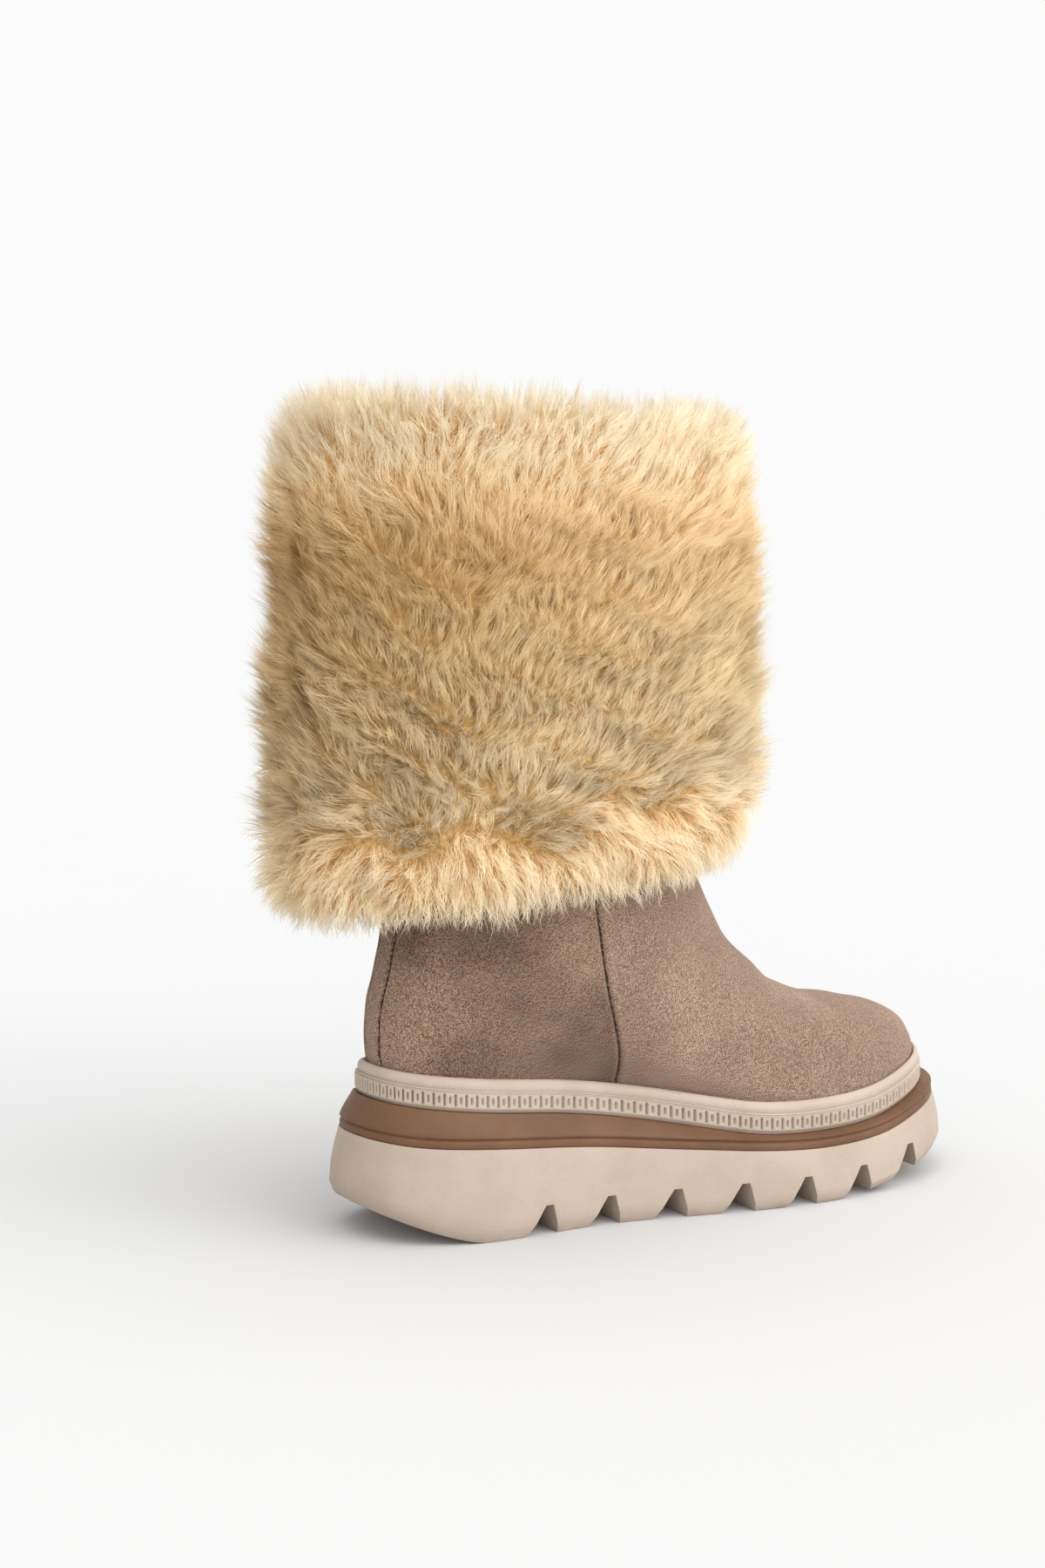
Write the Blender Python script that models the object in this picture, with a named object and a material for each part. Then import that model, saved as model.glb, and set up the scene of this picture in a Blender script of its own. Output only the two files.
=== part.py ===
"""Sheepskin boot for the right foot: a suede pull-on upper with its woolly shaft turned down as a deep
cuff, on a layered platform sole with lugs.

Metres, +Z up, +X to the toe, +Y to the inner side of the foot. The origin lies on the floor under the
middle of the heel's flat tread. In the tables, "along" runs from the back of the sole (0) to its toe (1).
"""
from collections import namedtuple
from functools import lru_cache

import bmesh
import bpy
import numpy as np

# Sole, seen from above
SOLE_LENGTH = 0.289
BALL_WIDTH = 0.1035
HEEL_WIDTH = 0.079
HEEL_SETBACK = 0.054

# Sole, seen from the side
OUTSOLE_AT_HEEL = 0.042
OUTSOLE_AT_BALL = 0.0223
MIDSOLE_AT_HEEL = 0.0155
MIDSOLE_AT_BALL = 0.0056
HEEL_BEVEL_LENGTH = 0.046
HEEL_BEVEL_RISE = 0.016
HEEL_BEVEL_CURVE = 1.4
TOE_SPRING_LENGTH = 0.088
TOE_SPRING_RISE = 0.016
TOE_SPRING_CURVE = 1.5

# Steps of the sole's side, each from the edge below it inward
OUTSOLE_FLARE = 0.0035
MIDSOLE_FLARE = 0.0050
WELT_SETBACK = 0.0008
TREAD_CORNER = 0.0018
MIDSOLE_LINE_HEIGHT = 0.0033
MIDSOLE_LINE_DEPTH = 0.0007

# Lugs, cut apart by notches whose walls lean
NOTCH_FIRST = 0.063
NOTCH_PITCH = 0.029
NOTCH_COUNT = 7
NOTCH_FOOT = 0.0148
NOTCH_TOP = 0.0035
NOTCH_HEIGHT = 0.012
NOTCH_REACH = 0.026
NOTCH_LEAN = 0.76
NOTCH_ROUND = 0.0010
NOTCH_OVERRUN = 0.25
CHANNEL_DEPTH = 0.005
CHANNEL_RAMP = 0.004

# Welt: a ribbed band with a round bead above it
BAND_HEIGHT = 0.0080
BEAD_HEIGHT = 0.0053
RIB_PITCH = 0.0047
RIB_DEPTH = 0.0009
RIB_LENGTH = 0.0046
RIB_FOOT = 0.0024
BAND_EDGE = 0.0008
BEAD_SETBACK = 0.0016
BEAD_WIDTH = 0.0024
TRAY_DEPTH = 0.0063

# Upper: its ovals, and the turns of the foot that count as toe and as heel
WALL = 0.0025
ANKLE_HEIGHT = 0.150
ANKLE_LENGTH = 0.130
ANKLE_WIDTH = 0.084
ANKLE_BACK = 0.0245
SHAFT_RISE = 0.155
SHAFT_LENGTH = 0.155
SHAFT_WIDTH = 0.088
SHAFT_BACK = 0.004
SHAFT_SWING = 0.5
OVAL_FULLNESS = 2 / 2.2
TOE_HALF_TURN = 0.04
TOE_FADE = 0.22
HEEL_FADE = 0.16
INSOLE_THICKNESS = 0.0040

# Cuff of long wool
PILE = 0.0225
CREST_HEIGHT = 0.029
INNER_PILE = 0.009
INNER_DEPTH = 0.040
CUFF_DROP = 0.168
HEM_TILT = 0.008
HEM_CLEAR_BACK = 0.0325
HEM_CLEAR_FRONT = 0.0070
HEM_CLEAR_SIDE = 0.005
LOCK_ROWS = 6
LOCKS_AROUND = 16
LOCK_RELIEF = 0.008
LOCK_POINT = 0.011
LOCK_MATTED = 0.25
LOCK_SHIFT = 0.25
UNEVEN_RELIEF = 0.0015
BACK_CREASE = 0.010
BACK_CREASE_REACH = 1.7

# Fit and fineness
GAP = 0.0003
COLUMNS = 64
SPLINE_SAMPLES = 40

# What follows from the sizes: insets from the outsole's widest line, and places of the cuff
MIDSOLE_INSET = OUTSOLE_FLARE + GAP
WELT_INSET = MIDSOLE_INSET + MIDSOLE_FLARE + WELT_SETBACK
BEAD_INSET = WELT_INSET + BEAD_SETBACK
TRAY_INSET = BEAD_INSET + BEAD_WIDTH
UPPER_INSET = TRAY_INSET + GAP
LINING_INSET = UPPER_INSET + WALL
SHAFT_TOP = ANKLE_HEIGHT + SHAFT_RISE
HEM_HEIGHT = SHAFT_TOP - CUFF_DROP
COLUMNS_PER_LOCK = COLUMNS // LOCKS_AROUND

# Outline of the tread, once round from the back of the heel. "across" is a share of half the width that
# the row follows, and the outer side of the foot is negative.
Plan = namedtuple("Plan", "along across width")
PLAN = (
    Plan(0.000, 0.00, HEEL_WIDTH),
    Plan(0.031, -0.63, HEEL_WIDTH),
    Plan(0.139, -1.00, HEEL_WIDTH),
    Plan(0.260, -1.00, HEEL_WIDTH),
    Plan(0.382, -1.00, HEEL_WIDTH),
    Plan(0.521, -0.91, BALL_WIDTH),
    Plan(0.642, -1.00, BALL_WIDTH),
    Plan(0.781, -0.95, BALL_WIDTH),
    Plan(0.910, -0.68, BALL_WIDTH),
    Plan(0.986, -0.19, BALL_WIDTH),
    Plan(0.997, 0.27, BALL_WIDTH),
    Plan(0.955, 0.68, BALL_WIDTH),
    Plan(0.868, 0.93, BALL_WIDTH),
    Plan(0.736, 1.00, BALL_WIDTH),
    Plan(0.573, 0.87, BALL_WIDTH),
    Plan(0.417, 0.99, HEEL_WIDTH),
    Plan(0.278, 0.99, HEEL_WIDTH),
    Plan(0.139, 1.00, HEEL_WIDTH),
    Plan(0.031, 0.63, HEEL_WIDTH),
)

# Thickness of the two lower layers, 1 at the heel's named size and 0 at the ball's, and how much of its
# named size each step of the side stands in.
Layer = namedtuple("Layer", "along outsole midsole step")
LAYERS = (
    Layer(0.00, 1.00, 1.00, 1.07),
    Layer(0.06, 0.86, 0.93, 1.05),
    Layer(0.17, 0.72, 0.79, 1.00),
    Layer(0.31, 0.52, 0.69, 1.00),
    Layer(0.45, 0.28, 0.45, 1.00),
    Layer(0.52, 0.18, 0.22, 1.00),
    Layer(0.59, 0.08, 0.02, 1.00),
    Layer(0.70, 0.00, 0.00, 1.00),
    Layer(0.80, 0.08, 0.00, 0.98),
    Layer(0.90, 0.38, 0.00, 0.92),
    Layer(1.00, 0.60, 0.04, 0.80),
)

# Outsole's wall from the tread up: shares of the tread's corner and of the flare that it stands in, and
# share of its height.
Wall = namedtuple("Wall", "corner flare height")
OUTSOLE_WALL = (
    Wall(1.00, 0.00, 0.00),
    Wall(0.20, 0.00, 0.06),
    Wall(0.00, 0.00, 0.25),
    Wall(0.00, 0.35, 0.65),
    Wall(0.00, 1.00, 1.00),
)

# Round bead of the welt from its foot up and over to the tray: shares of its width and height.
Bead = namedtuple("Bead", "inset height")
BEAD = (
    Bead(0.40, 0.00),
    Bead(0.00, 0.25),
    Bead(0.05, 0.75),
    Bead(0.80, 1.00),
    Bead(1.00, 0.91),
)

# Rings of the foot from the sole (0) to the ankle (1): how far each has moved in towards the ankle's
# oval and how far it has risen, over the toe, at the sides and at the back of the heel.
Ring = namedtuple("Ring", "toe_in toe_up side_in side_up heel_in heel_up")
RINGS = (
    Ring(0.000, 0.000, 0.00, 0.00, 0.00, 0.00),
    Ring(0.015, 0.060, 0.14, 0.05, -0.10, 0.06),
    Ring(0.060, 0.132, 0.31, 0.12, -0.12, 0.14),
    Ring(0.155, 0.195, 0.46, 0.20, -0.08, 0.23),
    Ring(0.290, 0.238, 0.58, 0.29, 0.04, 0.32),
    Ring(0.440, 0.268, 0.68, 0.38, 0.26, 0.41),
    Ring(0.585, 0.335, 0.77, 0.48, 0.46, 0.51),
    Ring(0.720, 0.446, 0.85, 0.59, 0.65, 0.61),
    Ring(0.848, 0.623, 0.92, 0.72, 0.83, 0.73),
    Ring(0.930, 0.790, 0.97, 0.86, 0.94, 0.86),
    Ring(1.000, 1.000, 1.00, 1.00, 1.00, 1.00),
)

# Heights of the shaft's rings above the ankle, as shares of the way to its top.
INNER_SHARE = 1 - INNER_DEPTH / SHAFT_RISE
SHAFT_RINGS = (0.5 * INNER_SHARE, INNER_SHARE, 1.0)

# One lock of wool from its root down to its tip: share of the row's height, and of the relief.
Lock = namedtuple("Lock", "drop swell")
LOCK = (
    Lock(0.04, 0.00),
    Lock(0.45, 0.62),
    Lock(0.94, 1.00),
)

# Two waves that keep the locks from being alike: radians for each column and for each row.
Wave = namedtuple("Wave", "column row")
WAVES = (
    Wave(2.4, 1.7),
    Wave(0.9, -2.3),
)

# The wool's top over the shaft's edge, from its outer side inward: share of the crest's height and of
# the pile, and how much of the unevenness it has.
Crest = namedtuple("Crest", "rise spread uneven")
CREST = (
    Crest(0.40, 1.12, 1.0),
    Crest(0.82, 0.88, 1.0),
    Crest(1.00, 0.40, 0.0),
)

# The wool just inside the mouth, from the crest down: share of the crest's height above the shaft's top,
# share of the way down to the wool's end, and share of the inner pile.
Mouth = namedtuple("Mouth", "rise drop spread")
MOUTH = (
    Mouth(0.75, 0.00, 0.40),
    Mouth(0.00, 0.00, 1.00),
    Mouth(0.00, 1.00, 0.80),
)


def clear_scene():
    for old in list(bpy.data.objects):
        bpy.data.objects.remove(old, do_unlink=True)


def add_body(name, bm, color, roughness):
    """Turns a bmesh into the named object, faces out, with its own material."""
    bmesh.ops.recalc_face_normals(bm, faces=bm.faces)
    mesh = bpy.data.meshes.new(name)
    bm.to_mesh(mesh)
    bm.free()
    mesh.shade_smooth()
    mesh.set_sharp_from_angle(angle=np.radians(35))
    body = bpy.data.objects.new(name, mesh)
    bpy.context.scene.collection.objects.link(body)
    material = bpy.data.materials.new(name)
    material.use_nodes = True
    shader = material.node_tree.nodes["Principled BSDF"]
    shader.inputs["Base Color"].default_value = (*color, 1.0)
    shader.inputs["Roughness"].default_value = roughness
    shader.inputs["Metallic"].default_value = 0.0
    mesh.materials.append(material)
    return body


def smooth_value(rows, column, at):
    """Reads one column of a table at any place along it, as a smooth curve through the rows."""
    xs = np.array([row.along for row in rows])
    ys = np.array([getattr(row, column) for row in rows])
    slopes = np.gradient(ys, xs)
    at = np.clip(at, xs[0], xs[-1])
    index = np.clip(np.searchsorted(xs, at, side="right") - 1, 0, len(xs) - 2)
    width = xs[index + 1] - xs[index]
    t = (at - xs[index]) / width
    bend = t * t * (3 - 2 * t)
    leave = t * (1 - t) ** 2 * width * slopes[index]
    arrive = t * t * (t - 1) * width * slopes[index + 1]
    return ys[index] * (1 - bend) + ys[index + 1] * bend + leave + arrive


def ease(value):
    value = np.clip(value, 0.0, 1.0)
    return value * value * (3 - 2 * value)


def closed_spline(points, samples_per_span):
    """Samples a smooth closed curve through the points."""
    ahead = np.roll(points, -1, axis=0)
    behind = np.roll(points, 1, axis=0)
    span = np.linalg.norm(ahead - points, axis=1) ** 0.5
    last = np.roll(span, 1)
    count = len(points)
    bends = np.diag(2 * (span + last))
    for i in range(count):
        bends[i, i - 1] += last[i]
        bends[i, (i + 1) % count] += span[i]
    pull = 6 * ((ahead - points) / span[:, None] - (points - behind) / last[:, None])
    curl = np.linalg.solve(bends, pull)
    out = []
    for i in range(count):
        j = (i + 1) % count
        for b in np.arange(samples_per_span) / samples_per_span:
            a = 1 - b
            near = a * points[i] + b * points[j]
            out.append(near + ((a ** 3 - a) * curl[i] + (b ** 3 - b) * curl[j]) * span[i] ** 2 / 6)
    return np.array(out)


def even_points(path, count):
    """Places count + 1 points evenly along an open path."""
    lengths = np.linalg.norm(np.diff(path, axis=0), axis=1)
    run = np.concatenate(([0.0], np.cumsum(lengths)))
    marks = np.linspace(0.0, run[-1], count + 1)
    return np.stack([np.interp(marks, run, path[:, axis]) for axis in (0, 1)], axis=1)


def plan_loop(inset, count=COLUMNS):
    """The sole's outline moved inward: column 0 at the back of the heel, column count / 2 at the toe."""
    corners = [(row.along * SOLE_LENGTH, row.across * row.width / 2) for row in PLAN]
    curve = closed_spline(np.array(corners), SPLINE_SAMPLES)
    toe = int(np.argmax(curve[:, 0]))
    outer = even_points(curve[:toe + 1], count // 2)
    inner = even_points(np.vstack((curve[toe:], curve[:1])), count // 2)
    loop = np.vstack((outer[:-1], inner[:-1]))
    along = np.roll(loop, -1, axis=0) - np.roll(loop, 1, axis=0)
    along /= np.linalg.norm(along, axis=1)[:, None]
    inward = np.stack((-along[:, 1], along[:, 0]), axis=1)
    step = smooth_value(LAYERS, "step", loop[:, 0] / SOLE_LENGTH)
    return loop + inward * (inset * step)[:, None]


def raised(loop, height):
    """Puts a plan loop at its heights, measured from the back of the sole."""
    return np.column_stack((loop[:, 0] - HEEL_SETBACK, loop[:, 1], np.broadcast_to(height, len(loop))))


def tread_height(x):
    """Underside of the outsole: flat, with the heel bevelled up at the back and the toe sprung up."""
    bevel = np.clip(1 - x / HEEL_BEVEL_LENGTH, 0, 1) ** HEEL_BEVEL_CURVE * HEEL_BEVEL_RISE
    spring_start = SOLE_LENGTH - TOE_SPRING_LENGTH
    spring = np.clip((x - spring_start) / TOE_SPRING_LENGTH, 0, 1) ** TOE_SPRING_CURVE * TOE_SPRING_RISE
    return bevel + spring


def outsole_top(x):
    share = smooth_value(LAYERS, "outsole", x / SOLE_LENGTH)
    return OUTSOLE_AT_BALL + share * (OUTSOLE_AT_HEEL - OUTSOLE_AT_BALL)


def midsole_top(x):
    share = smooth_value(LAYERS, "midsole", x / SOLE_LENGTH)
    return outsole_top(x) + MIDSOLE_AT_BALL + share * (MIDSOLE_AT_HEEL - MIDSOLE_AT_BALL)


def bead_top(x):
    return midsole_top(x) + BAND_HEIGHT + BEAD_HEIGHT


def tray_floor(x):
    """Floor inside the welt, where the upper's edge and the insole rest."""
    return bead_top(x) - TRAY_DEPTH


def add_loop(bm, points):
    return [bm.verts.new(point) for point in points]


def bridge(bm, lower, upper):
    """Joins two closed loops, where one may have a whole number of times the other's points."""
    if len(lower) == len(upper):
        for i in range(len(lower)):
            j = (i + 1) % len(lower)
            bm.faces.new((lower[i], lower[j], upper[j], upper[i]))
        return
    coarse, fine = sorted((lower, upper), key=len)
    times = len(fine) // len(coarse)
    for i in range(len(coarse)):
        j = (i + 1) % len(coarse)
        middle = i * times + times // 2
        bm.faces.new((coarse[i], fine[middle], coarse[j]))
        for k in range(times):
            apex = coarse[i] if k < times // 2 else coarse[j]
            start = i * times + k
            bm.faces.new((apex, fine[start], fine[(start + 1) % len(fine)]))


def close_across(bm, loop):
    """Closes a loop with strips from its outer side to its inner side."""
    count = len(loop)
    for i in range(count // 2):
        strip = [loop[i], loop[i + 1], loop[count - i - 1], loop[(count - i) % count]]
        bm.faces.new(list(dict.fromkeys(strip)))


def slab(loops):
    """A solid body from its bottom loop to its top loop."""
    bm = bmesh.new()
    rings = [add_loop(bm, loop) for loop in loops]
    close_across(bm, rings[0])
    for lower, upper in zip(rings, rings[1:]):
        bridge(bm, lower, upper)
    close_across(bm, rings[-1])
    return bm


def ring_body(loops):
    """A hollow body whose section is a closed line, so that its last loop joins its first."""
    bm = bmesh.new()
    rings = [add_loop(bm, loop) for loop in loops]
    for lower, upper in zip(rings, rings[1:] + rings[:1]):
        bridge(bm, lower, upper)
    return bm


def notch_section(x, height):
    """A notch seen from the side: its wall towards the heel leans and the one towards the toe is steep."""
    run = NOTCH_FOOT - NOTCH_TOP
    lean = run * NOTCH_LEAN / NOTCH_HEIGHT
    steep = run * (1 - NOTCH_LEAN) / NOTCH_HEIGHT
    foot = tread_height(x + NOTCH_FOOT / 2)
    below = NOTCH_HEIGHT * NOTCH_OVERRUN
    shoulder = height - NOTCH_ROUND
    half_round = NOTCH_ROUND / 2
    return (
        (x - lean * below, foot - below),
        (x + NOTCH_FOOT + steep * below, foot - below),
        (x + NOTCH_FOOT - steep * shoulder, foot + shoulder),
        (x + NOTCH_FOOT - steep * height - half_round, foot + height),
        (x + lean * height + half_round, foot + height),
        (x + lean * shoulder, foot + shoulder),
    )


def notch_cutter(index):
    """One notch: deep from each side of the sole, and a shallow channel between."""
    x = NOTCH_FIRST + index * NOTCH_PITCH
    sides = plan_loop(0.0)
    half = COLUMNS // 2
    outer = np.interp(x, sides[:half, 0], sides[:half, 1])
    inner = np.interp(x, sides[:half:-1, 0], sides[:half:-1, 1])
    beyond = BALL_WIDTH / 4
    stops = (
        (outer - beyond, NOTCH_HEIGHT),
        (outer + NOTCH_REACH, NOTCH_HEIGHT),
        (outer + NOTCH_REACH + CHANNEL_RAMP, CHANNEL_DEPTH),
        (inner - NOTCH_REACH - CHANNEL_RAMP, CHANNEL_DEPTH),
        (inner - NOTCH_REACH, NOTCH_HEIGHT),
        (inner + beyond, NOTCH_HEIGHT),
    )
    bm = bmesh.new()
    rings = []
    for y, height in stops:
        section = notch_section(x, height)
        rings.append(add_loop(bm, [(px - HEEL_SETBACK, y, pz) for px, pz in section]))
    bm.faces.new(rings[0])
    for near, far in zip(rings, rings[1:]):
        bridge(bm, near, far)
    bm.faces.new(rings[-1])
    cutter = add_body("notch_cutter_%d" % index, bm, (0.5, 0.5, 0.5), 0.5)
    cutter.hide_render = True
    cutter.display_type = "WIRE"
    return cutter


def make_outsole():
    """Cream rubber unit: flared wall, rounded tread edge, seven notches."""
    loops = []
    for row in OUTSOLE_WALL:
        loop = plan_loop(row.corner * TREAD_CORNER + row.flare * OUTSOLE_FLARE)
        low = tread_height(loop[:, 0])
        loops.append(raised(loop, low + row.height * (outsole_top(loop[:, 0]) - low)))
    body = add_body("outsole", slab(loops), (0.66, 0.57, 0.46), 0.75)
    for index in range(NOTCH_COUNT):
        cut = body.modifiers.new("notch_%d" % index, "BOOLEAN")
        cut.operation = "DIFFERENCE"
        cut.solver = "EXACT"
        cut.object = notch_cutter(index)
    return body


def make_midsole():
    """Tan layer, thick under the heel and thin under the ball, with one line run round its side."""
    foot = MIDSOLE_INSET
    line = MIDSOLE_LINE_HEIGHT
    half = MIDSOLE_LINE_DEPTH
    steps = (
        # inset, height above the outsole, share of the layer's height
        (foot, GAP, 0.0),
        (foot, line - half, 0.0),
        (foot + MIDSOLE_LINE_DEPTH, line, 0.0),
        (foot + GAP, line + half, 0.0),
        (foot + MIDSOLE_FLARE, 0.0, 1.0),
    )
    loops = []
    for inset, lift, share in steps:
        loop = plan_loop(inset)
        low = outsole_top(loop[:, 0])
        loops.append(raised(loop, low + lift + share * (midsole_top(loop[:, 0]) - low)))
    return add_body("midsole", slab(loops), (0.35, 0.20, 0.115), 0.6)


def band_length(inset):
    loop = plan_loop(inset)
    return np.linalg.norm(np.roll(loop, -1, axis=0) - loop, axis=1).sum()


def make_welt():
    """Cream foxing: ribbed band, a fine groove, a round bead, and a tray inside for the upper."""
    foot = WELT_INSET
    ribs_per_step = max(1, round(band_length(foot) / COLUMNS / RIB_PITCH))
    fine = COLUMNS * ribs_per_step * 2
    grooves = np.tile((0.0, RIB_DEPTH), fine // 2)
    steps = [
        # inset, height above the midsole, points
        (foot + GAP, GAP, COLUMNS),
        (foot, BAND_EDGE, COLUMNS),
        (foot + grooves, RIB_FOOT, fine),
        (foot + grooves + GAP, RIB_FOOT + RIB_LENGTH, fine),
        (foot + GAP, BAND_HEIGHT - BAND_EDGE, COLUMNS),
    ]
    for row in BEAD:
        steps.append((BEAD_INSET + row.inset * BEAD_WIDTH, BAND_HEIGHT + row.height * BEAD_HEIGHT, COLUMNS))
    steps.append((TRAY_INSET, BAND_HEIGHT + BEAD_HEIGHT - TRAY_DEPTH, COLUMNS))
    loops = []
    for inset, lift, count in steps:
        loop = plan_loop(inset, count)
        loops.append(raised(loop, midsole_top(loop[:, 0]) + lift))
    return add_body("welt", slab(loops), (0.62, 0.53, 0.43), 0.6)


def make_insole():
    """Footbed on the welt's floor, inside the upper."""
    edge = LINING_INSET + GAP
    steps = (
        # inset, height above the welt's floor
        (edge, GAP),
        (edge, GAP + INSOLE_THICKNESS * 0.7),
        (edge + INSOLE_THICKNESS * 0.3, GAP + INSOLE_THICKNESS),
    )
    loops = []
    for inset, lift in steps:
        loop = plan_loop(inset)
        loops.append(raised(loop, tray_floor(loop[:, 0]) + lift))
    return add_body("insole", slab(loops), (0.78, 0.66, 0.47), 0.9)


def oval(back, front, half_width, height, spread=0.0):
    """A level oval ring with full corners, its columns matched to the sole's."""
    turn = 2 * np.pi * np.arange(COLUMNS) / COLUMNS
    cos = np.sign(np.cos(turn)) * np.abs(np.cos(turn)) ** OVAL_FULLNESS
    sin = np.sign(np.sin(turn)) * np.abs(np.sin(turn)) ** OVAL_FULLNESS
    x = (back + front) / 2 - ((front - back) / 2 + spread) * cos
    y = -(half_width + spread) * sin
    return raised(np.column_stack((x, y)), height)


def shaft_loop(share, spread=0.0):
    """Ring of the shaft at a share of its height from the ankle to the top."""
    lean = ease(share) * SHAFT_SWING + share * (1 - SHAFT_SWING)
    back = ANKLE_BACK + lean * (SHAFT_BACK - ANKLE_BACK)
    ankle_front = ANKLE_BACK + ANKLE_LENGTH
    front = ankle_front + lean * (SHAFT_BACK + SHAFT_LENGTH - ankle_front)
    half = (ANKLE_WIDTH + lean * (SHAFT_WIDTH - ANKLE_WIDTH)) / 2
    height = ANKLE_HEIGHT + share * SHAFT_RISE
    return oval(back, front, half, height, spread)


def foot_rings():
    """Outside of the foot: each column climbs from the welt to the ankle's oval by its own path."""
    feather = plan_loop(UPPER_INSET)
    start = raised(feather, bead_top(feather[:, 0]) + GAP)
    ankle = shaft_loop(0.0)
    turn = np.arange(COLUMNS) / COLUMNS
    off_toe = np.abs(turn - 0.5)
    toe = 1 - ease((off_toe - TOE_HALF_TURN) / TOE_FADE)
    heel = 1 - ease((0.5 - off_toe) / HEEL_FADE)
    side = 1 - toe - heel
    rings = []
    for row in RINGS:
        inward = (toe * row.toe_in + side * row.side_in + heel * row.heel_in)[:, None]
        rise = toe * row.toe_up + side * row.side_up + heel * row.heel_up
        ring = start + inward * (ankle - start)
        ring[:, 2] = start[:, 2] + rise * (ankle[:, 2] - start[:, 2])
        rings.append(ring)
    return rings


def inside_of(rings, wall):
    """The same rings moved inward by the wall, square to the surface."""
    grid = np.array(rings)
    around = np.roll(grid, -1, axis=1) - np.roll(grid, 1, axis=1)
    upward = np.gradient(grid, axis=0)
    normal = np.cross(around, upward)
    normal /= np.linalg.norm(normal, axis=2)[:, :, None]
    return list(grid - normal * wall)


def make_upper():
    """Hollow suede upper: foot and shaft in one wall, open at the top and underneath."""
    feather = plan_loop(UPPER_INSET)
    edge = plan_loop(LINING_INSET)
    foot = foot_rings()
    shaft = [shaft_loop(share) for share in SHAFT_RINGS]
    lining = inside_of(foot, WALL)
    lining[0] = raised(edge, foot[0][:, 2])
    lining[-1] = shaft_loop(0.0, -WALL)
    outside = [raised(feather, tray_floor(feather[:, 0]) + GAP)] + foot + shaft
    inside = [raised(edge, tray_floor(edge[:, 0]) + GAP)] + lining
    inside += [shaft_loop(share, -WALL) for share in SHAFT_RINGS[1:]]
    return add_body("upper", ring_body(outside + inside[::-1]), (0.30, 0.215, 0.17), 0.9)


@lru_cache(maxsize=None)
def upper_outside():
    """All rings of the upper's outside, from the welt to the shaft's top."""
    return np.array(foot_rings() + [shaft_loop(share) for share in SHAFT_RINGS])


def upper_reach(column, axis, height):
    """How far one column of the upper's outside reaches along an axis at a height."""
    path = upper_outside()[:, column]
    return np.interp(height, path[:, 2], path[:, axis])


def cuff_loop(height, spread):
    """Ring of the cuff, which follows the upper at its top and swings clear of it towards the hem."""
    drop = np.clip((SHAFT_TOP - height) / CUFF_DROP, 0, 1)
    tilt = drop * HEM_TILT
    back = upper_reach(0, 0, height - tilt) - drop * HEM_CLEAR_BACK
    front = upper_reach(COLUMNS // 2, 0, height + tilt) + drop * HEM_CLEAR_FRONT
    half = -upper_reach(COLUMNS // 4, 1, height) + drop * HEM_CLEAR_SIDE
    loop = oval(back + HEEL_SETBACK, front + HEEL_SETBACK, half, height, spread)
    loop[:, 2] -= tilt * np.cos(2 * np.pi * np.arange(COLUMNS) / COLUMNS)
    return loop


def uneven(column, row):
    """A small irregular value of -1 to 1."""
    first, second = WAVES
    return np.sin(column * first.column + row * first.row) * np.sin(column * second.column + row * second.row)


def lock_ring(row, lock):
    """Ring of wool locks: every lock is a ridge that swells and narrows to a point at its tip."""
    row_height = CUFF_DROP / LOCK_ROWS
    column = np.arange(COLUMNS)
    ridge = 0.5 + 0.5 * np.cos(2 * np.pi * (column / COLUMNS_PER_LOCK + row / 2))
    off_back = (column + COLUMNS / 2) % COLUMNS - COLUMNS / 2
    crease = BACK_CREASE * np.exp(-(off_back / BACK_CREASE_REACH) ** 2)
    height = SHAFT_TOP - (row + lock.drop) * row_height
    swell = lock.swell * (LOCK_MATTED + (1 - LOCK_MATTED) * ridge)
    spread = PILE + LOCK_RELIEF * (swell - 0.5) - crease + UNEVEN_RELIEF * uneven(column, row)
    loop = cuff_loop(height, spread)
    loop[:, 2] -= LOCK_POINT * lock.swell ** 3 * (ridge - 0.5 + LOCK_SHIFT * uneven(column, row))
    return loop


def make_cuff():
    """The shaft's woolly top, folded over its edge: thick locks outside, short wool just inside."""
    slot = -WALL - GAP
    top = SHAFT_TOP + GAP
    loops = [
        shaft_loop(INNER_SHARE, slot),
        cuff_loop(top, slot),
        cuff_loop(top, GAP),
        cuff_loop((SHAFT_TOP + HEM_HEIGHT) / 2, GAP),
        cuff_loop(HEM_HEIGHT + LOCK_POINT / 2, GAP),
    ]
    for row in reversed(range(LOCK_ROWS)):
        for lock in reversed(LOCK):
            loops.append(lock_ring(row, lock))
    wave = UNEVEN_RELIEF * uneven(np.arange(COLUMNS), -1)
    for row in CREST:
        loops.append(cuff_loop(SHAFT_TOP + row.rise * CREST_HEIGHT, row.spread * PILE + row.uneven * wave))
    for row in MOUTH:
        loop = shaft_loop(1 - row.drop * (1 - INNER_SHARE), slot - row.spread * INNER_PILE)
        loop[:, 2] += row.rise * CREST_HEIGHT
        loops.append(loop)
    return add_body("cuff", ring_body(loops), (0.76, 0.58, 0.34), 0.95)


def main():
    clear_scene()
    make_outsole()
    make_midsole()
    make_welt()
    make_insole()
    make_upper()
    make_cuff()


main()
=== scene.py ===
"""Looks of the sheepskin boot: napped suede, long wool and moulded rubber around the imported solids.

Metres, in the solids' own frame: +Z up, +X to the toe, +Y to the inner side of the foot. A place on the
boot is told by its "turn": 0 at the middle of the back, 0.25 on the outer side, 0.5 at the toe and 0.75
on the inner side.
"""

from collections import namedtuple
from functools import lru_cache

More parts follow.
